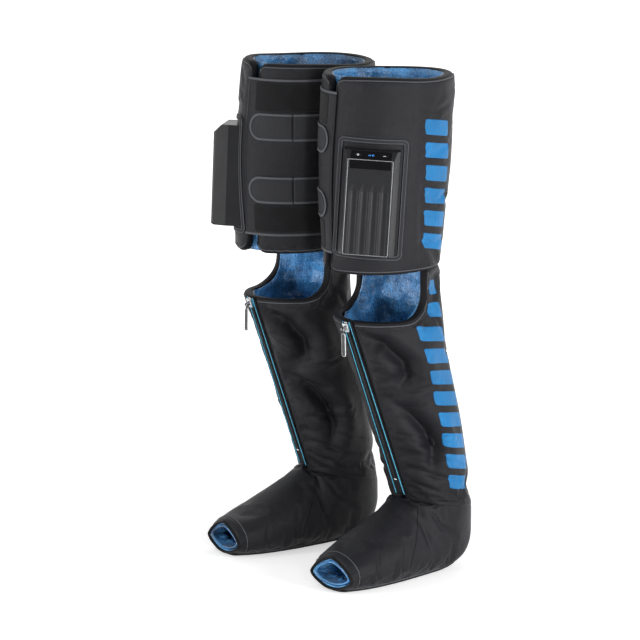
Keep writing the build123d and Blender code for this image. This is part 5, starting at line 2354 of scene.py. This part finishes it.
@dataclass
class PumpLegends:
    """Lit marks on the three buttons, and a bead of painted highlight round the casing's front."""

    spacing: float = 0.022
    above: float = 0.00052
    line: float = 0.00032

    def stroke(self, flat: list[tuple[float, float]], middle: float, closed: bool = False) -> Mesh:
        """Raised line through points of a button's face.

        Args:
            flat: points across and up, from the middle of the button.
            middle: place of that middle across the face.
            closed: whether the line is a ring.

        Returns:
            Points and faces of the line.
        """
        points = np.array([(middle + x, y, self.above) for x, y in flat])
        path = control_points(points)
        out = control_points(points + (0, 0, 1)) - path
        return tube(path, out, self.line, 0.00012, 6, closed)

    def ring(self, radius: float, middle: float, first: float, last: float) -> Mesh:
        """Part of a circle, between two angles."""
        turns = np.radians(np.linspace(first, last, 20))
        return self.stroke([(radius * math.cos(t), radius * math.sin(t)) for t in turns], middle)

    def bead(self, shop: Workshop) -> None:
        """Fine light grey bead round the casing's front: a raised rim whose colour paints the
        highlight along the casing's edges.

        Args:
            shop: the boot's workshop.
        """
        half, low, high, corner, front = 0.0374, -0.0856, 0.0736, 0.002, 0.0336
        ring = rounded_ring(half - corner, low + corner, high - corner, corner, 0.008)
        bead = PUMP.rod(points_at(ring[:, 0], ring[:, 1], front), 0.0007, 0.0007, closed=True)
        shop.piece("pump_edge_bead", bead, "bead_satin", slot="casing_plastic")

    def build(self, shop: Workshop) -> None:
        """Makes the bead of painted edge highlight and the marks of each button.

        Args:
            shop: the boot's workshop.
        """
        self.bead(shop)
        left, right, tall = -self.spacing, self.spacing, 0.0013
        peak = [(-0.0042, -tall), (-0.0030, tall), (-0.0018, -tall)]
        power = [self.ring(0.0016, left, 120, 420), self.stroke([(0, 0.0004), (0, 0.0022)], left)]
        mode = [self.stroke(peak, 0.0), self.stroke([(-0.0008, -tall), (-0.0008, tall)], 0.0)]
        mode.append(self.ring(tall, 0.0030, 0, 355))
        level = [self.stroke([(-0.0024, 0.0), (0.0024, 0.0)], right)]
        for legend, meshes, finish in (
            (Legend.POWER, power, "legend_white"),
            (Legend.MODE, mode, "legend_blue"),
            (Legend.LEVEL, level, "legend_white"),
        ):
            body = f"button_{legend.value}"
            shop.piece(f"legend_{legend.value}", join(meshes), finish, body, slot="button_plastic")


# ---- Printed bars ----


@dataclass
class PrintedBars:
    """Plain slanted bars printed down the outer back of the boot."""

    bar: float = 0.026
    gap: float = 0.0125
    slant: float = 0.0003
    corner: float = 0.004

    def build(self, shop: Workshop, thigh: Surface, calf: Surface) -> None:
        """Prints the bars on cuff and calf.

        Args:
            shop: the boot's workshop.
            thigh: outer face of the cuff.
            calf: outer face of the calf.
        """
        parts, step = [], self.bar + self.gap
        rows = [(thigh, low, -126.0, -90.0, 0.0019) for low in 0.5790 + step * np.arange(6)]
        rows += [(calf, low, -122.0, -78.0, 0.0012) for low in 0.1500 + step * np.arange(8)]
        rows += [(calf, 0.4580, -124.0, -104.5, 0.0012), (calf, 0.4965, -126.0, -111.0, 0.0012)]
        for surface, low, first, last, degree in rows:
            high = float(low) + self.bar
            patch = Patch(first, last, float(low), high, self.corner, degree, self.slant)
            parts.append(patch.slab(surface, -0.0003, 0.0007, 20, 36))
        shop.piece("printed_bars", join(parts), "print_blue")


# ---- Studio ----


@dataclass
class Studio:
    """Pale floor, white surround, soft lamps and the camera."""

    azimuth: float = 51.0
    pitch: float = 12.0
    distance: float = 6.3
    lens: float = 206.5
    ambient: float = 0.38
    target: Vec3 = (0.0075, -0.065, 0.436)

    def build(self) -> None:
        """Makes the stage."""
        scene = bpy.context.scene
        scene.view_settings.view_transform = "Standard"
        self.floor()
        self.surround()
        self.lamps()
        self.camera()

    def floor(self) -> None:
        """Round pale floor that reads white to the eye."""
        data = bpy.data.meshes.new("floor")
        count, radius = 96, 14.0
        turns = np.arange(count) * 2 * math.pi / count
        rim = [(radius * math.cos(t), radius * math.sin(t), 0.0) for t in turns]
        data.from_pydata(rim, [], [tuple(range(count))])
        obj = add_object("floor", data)
        paint = Paint("floor_paper", (0.82, 0.82, 0.82), Roughness=0.9)
        light = paint.add("ShaderNodeLightPath")
        seen = paint.sum("MAXIMUM", light.outputs["Is Camera Ray"], light.outputs["Is Glossy Ray"])
        ground = paint.add("ShaderNodeVectorMath", {0: paint.place()}, operation="LENGTH")
        reach = {"Value": ground.outputs["Value"], "From Min": 0.6, "From Max": 2.4, "To Min": 0.52}
        spread = paint.add("ShaderNodeMapRange", reach)
        paint.shader.inputs["Emission Color"].default_value = (1, 1, 1, 1)
        glow = paint.sum("MULTIPLY", seen, spread.outputs["Result"])
        paint.feed(paint.shader.inputs["Emission Strength"], glow)
        obj.data.materials.append(paint.finish())

    def surround(self) -> None:
        """White to the eye and in reflections, plain grey as a light."""
        world = bpy.data.worlds.new("surround")
        bpy.context.scene.world = world
        world.use_nodes = True
        tree = world.node_tree
        background = tree.nodes["Background"]
        nodes, link = tree.nodes, tree.links.new
        light = nodes.new("ShaderNodeLightPath")
        seen = light.outputs["Is Camera Ray"]
        for ray in ("Is Transmission Ray", "Is Glossy Ray"):
            either = nodes.new("ShaderNodeMath")
            either.operation = "MAXIMUM"
            link(seen, either.inputs[0])
            link(light.outputs[ray], either.inputs[1])
            seen = either.outputs[0]
        strength = nodes.new("ShaderNodeMapRange")
        strength.inputs["To Min"].default_value = self.ambient
        strength.inputs["To Max"].default_value = 1.0
        link(seen, strength.inputs["Value"])
        link(strength.outputs["Result"], background.inputs["Strength"])
        background.inputs["Color"].default_value = (1, 1, 1, 1)

    def lamp(self, name: str, place: Vec3, size: tuple[float, float], power: float) -> None:
        """Soft lamp of that width and height, aimed at the middle of the pair.

        Args:
            name: the lamp's name.
            place: where it hangs.
            size: its width and height.
            power: its power in watts.
        """
        data = bpy.data.lights.new(name, "AREA")
        data.shape, data.energy = "RECTANGLE", power
        data.size, data.size_y = size
        obj = add_object(name, data)
        obj.location = place
        aim = Vector((0, 0, 0.45)) - Vector(place)
        obj.rotation_euler = aim.to_track_quat("-Z", "Y").to_euler()

    def lamps(self) -> None:
        """Tall key, fill and edge lamps, and a broad one from above behind."""
        self.lamp("key", (3.3, 0.58, 0.85), (0.8, 1.6), 94.0)
        self.lamp("fill", (-0.9, -3.4, 0.85), (0.5, 1.6), 72.0)
        self.lamp("edge", (2.95, -1.55, 0.85), (0.25, 1.6), 36.0)
        self.lamp("top", (-1.4, 2.0, 3.2), (2.2, 2.2), 18.0)

    def camera(self) -> None:
        """Camera that looks at the outer front of one boot and the inner side of the other."""
        data = bpy.data.cameras.new("camera")
        data.lens, data.sensor_width = self.lens, 36.0
        obj = add_object("camera", data)
        a, e = math.radians(self.azimuth), math.radians(self.pitch)
        back = Vector((math.sin(a) * math.cos(e), -math.cos(a) * math.cos(e), math.sin(e)))
        obj.location = Vector(self.target) + back * self.distance
        obj.rotation_euler = back.to_track_quat("Z", "Y").to_euler()
        bpy.context.scene.camera = obj


# ---- The pair ----

CARRIED = {
    "zip_slider": "slider_metal",
    "zip_pull": "pull_rubber",
    "pump_front_shell": "casing_black",
    "pump_back_shell": "casing_black",
    "control_window": "window_gloss",
    "button_power": "button_gloss",
    "button_mode": "button_gloss",
    "button_level": "button_gloss",
    "circuit_board": "board_green",
    "battery_pack": "cell_wrap",
    "air_pump": "motor_metal",
    "valve_block": "valve_nylon",
    "charge_port": "port_metal",
    "housing_screws": "screw_steel",
}


@dataclass
class Boot:
    """One whole boot."""

    shop: Workshop
    cuff: ThighCuff
    calf: Calf
    foot: Foot
    thigh_relief: Relief
    calf_relief: Relief
    foot_relief: Relief

    def build(self, nodes: dict[str, Object]) -> None:
        """Makes the soft pieces and trim, and dresses the hard parts that stay as they are.

        Args:
            nodes: the CAD's objects by name.
        """
        thigh = self.cuff.build(self.shop, self.thigh_relief)
        calf = self.calf.build(self.shop, self.calf_relief)
        self.foot.build(self.shop, self.foot_relief)
        Closure().build(self.shop)
        Pocket().build(self.shop)
        Zip().build(self.shop)
        PumpLegends().build(self.shop)
        PrintedBars().build(self.shop, thigh, calf)
        for node, finish in CARRIED.items():
            obj = nodes[self.shop.stance.name(node)]
            obj.data.materials.clear()
            obj.data.materials.append(self.shop.wardrobe[finish])


# Hollows and creases of the inner side. Angles past BEHIND stay as they are on both sides.
THIGH_HOLLOWS: Relief = (
    Dent(92, 0.64, 0.05, 0.09, 0.004),
    Dent(120, 0.79, 0.05, 0.05, 0.003),
    Dent(-110, 0.70, 0.05, 0.10, 0.003),
    Dent(170, 0.66, 0.06, 0.05, 0.004),
    Crease(((80, 0.600), (104, 0.588), (130, 0.596)), 0.0022, 0.004),
    Crease(((84, 0.822), (108, 0.812), (126, 0.819)), 0.0016, 0.004),
    Crease(((150, 0.72), (176, 0.705), (205, 0.716)), 0.002, 0.005),
)
CALF_HOLLOWS: Relief = (
    Crease(
        ((13, 0.440), (38, 0.420), (56, 0.388), (54, 0.360), (38, 0.338)),
        0.0185, 0.0120,
    ),
    Crease(
        ((26, 0.318), (44, 0.298), (62, 0.262), (66, 0.226), (58, 0.190)),
        0.0170, 0.0120,
    ),
    Dent(26, 0.386, 0.016, 0.026, -0.004),
    Dent(84, 0.395, 0.022, 0.045, -0.005),
    Dent(88, 0.270, 0.022, 0.045, -0.004),
    Crease(((20, 0.392), (34, 0.386)), 0.0016, 0.0022),
    Crease(((18, 0.372), (33, 0.368)), 0.0016, 0.0022),
    Crease(((17, 0.352), (30, 0.351)), 0.0014, 0.0020),
    Crease(((44, 0.336), (68, 0.342), (92, 0.350)), 0.0026, 0.0030),
    Dent(92, 0.42, 0.045, 0.05, 0.004),
    Dent(84, 0.26, 0.04, 0.06, 0.004),
    Dent(-70, 0.35, 0.04, 0.08, 0.004),
    Dent(180, 0.50, 0.07, 0.03, 0.004),
    Dent(175, 0.22, 0.05, 0.05, 0.004),
    Crease(((30, 0.248), (58, 0.236), (88, 0.240)), 0.0024, 0.004),
    Crease(((24, 0.196), (60, 0.180), (96, 0.170)), 0.0030, 0.004),
    Crease(((24, 0.168), (52, 0.157), (80, 0.143)), 0.0026, 0.0035),
    Crease(((60, 0.208), (88, 0.205), (118, 0.190)), 0.0018, 0.0035),
    Crease(((95, 0.485), (112, 0.462), (120, 0.430)), 0.0024, 0.004),
    Crease(((-24, 0.190), (-60, 0.176), (-98, 0.166)), 0.0028, 0.004),
    Crease(((-30, 0.330), (-60, 0.322), (-84, 0.332)), 0.0024, 0.004),
    Crease(((150, 0.520), (180, 0.508), (214, 0.519)), 0.0028, 0.005),
    Crease(((146, 0.17), (182, 0.160), (216, 0.168)), 0.0026, 0.004),
)
# The second number is the place along the foot.
FOOT_HOLLOWS: Relief = (
    Crease(((34, 0.006), (66, 0.022), (84, 0.060)), 0.0034, 0.0035),
    Crease(((40, -0.022), (70, -0.012), (98, 0.012)), 0.0022, 0.0035),
    Crease(((62, -0.060), (92, -0.070), (122, -0.066)), 0.0024, 0.0035),
    Crease(((48, -0.118), (84, -0.128), (116, -0.122)), 0.0024, 0.003),
    Crease(((-40, 0.004), (-70, 0.020), (-88, 0.055)), 0.003, 0.0035),
    Crease(((-50, -0.075), (-88, -0.085), (-120, -0.080)), 0.0022, 0.0035),
    Dent(50, -0.09, 0.02, 0.03, 0.003),
    Dent(-50, -0.05, 0.02, 0.03, 0.003),
    Dent(20, -0.145, 0.03, 0.018, 0.002),
)


def main(frame: dict[str, object]) -> None:
    """Builds both boots and the studio, and keeps a note of the size.

    Args:
        frame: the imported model.
    """
    logging.basicConfig(level=logging.INFO, format="%(name)s: %(message)s")
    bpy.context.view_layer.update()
    Studio().build()
    wardrobe, beads = Wardrobe(), BeadTree()
    cuff, calf, foot = ThighCuff(), Calf(), Foot()
    for part in (cuff.padding, calf.padding, foot):
        part.blow_up()
    for side, sign in ((Side.LEFT, -1), (Side.RIGHT, 1)):
        shop = Workshop(Stance(side), wardrobe, beads)
        hollows = (on_side(relief, sign) for relief in (THIGH_HOLLOWS, CALF_HOLLOWS, FOOT_HOLLOWS))
        boot = Boot(shop, cuff, calf, foot, *hollows)
        boot.build(frame["nodes"])
        LOG.info("%s boot: %d pieces", side.value, len(shop.made))


if __name__ == "__main__":
    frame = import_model()
    main(frame)
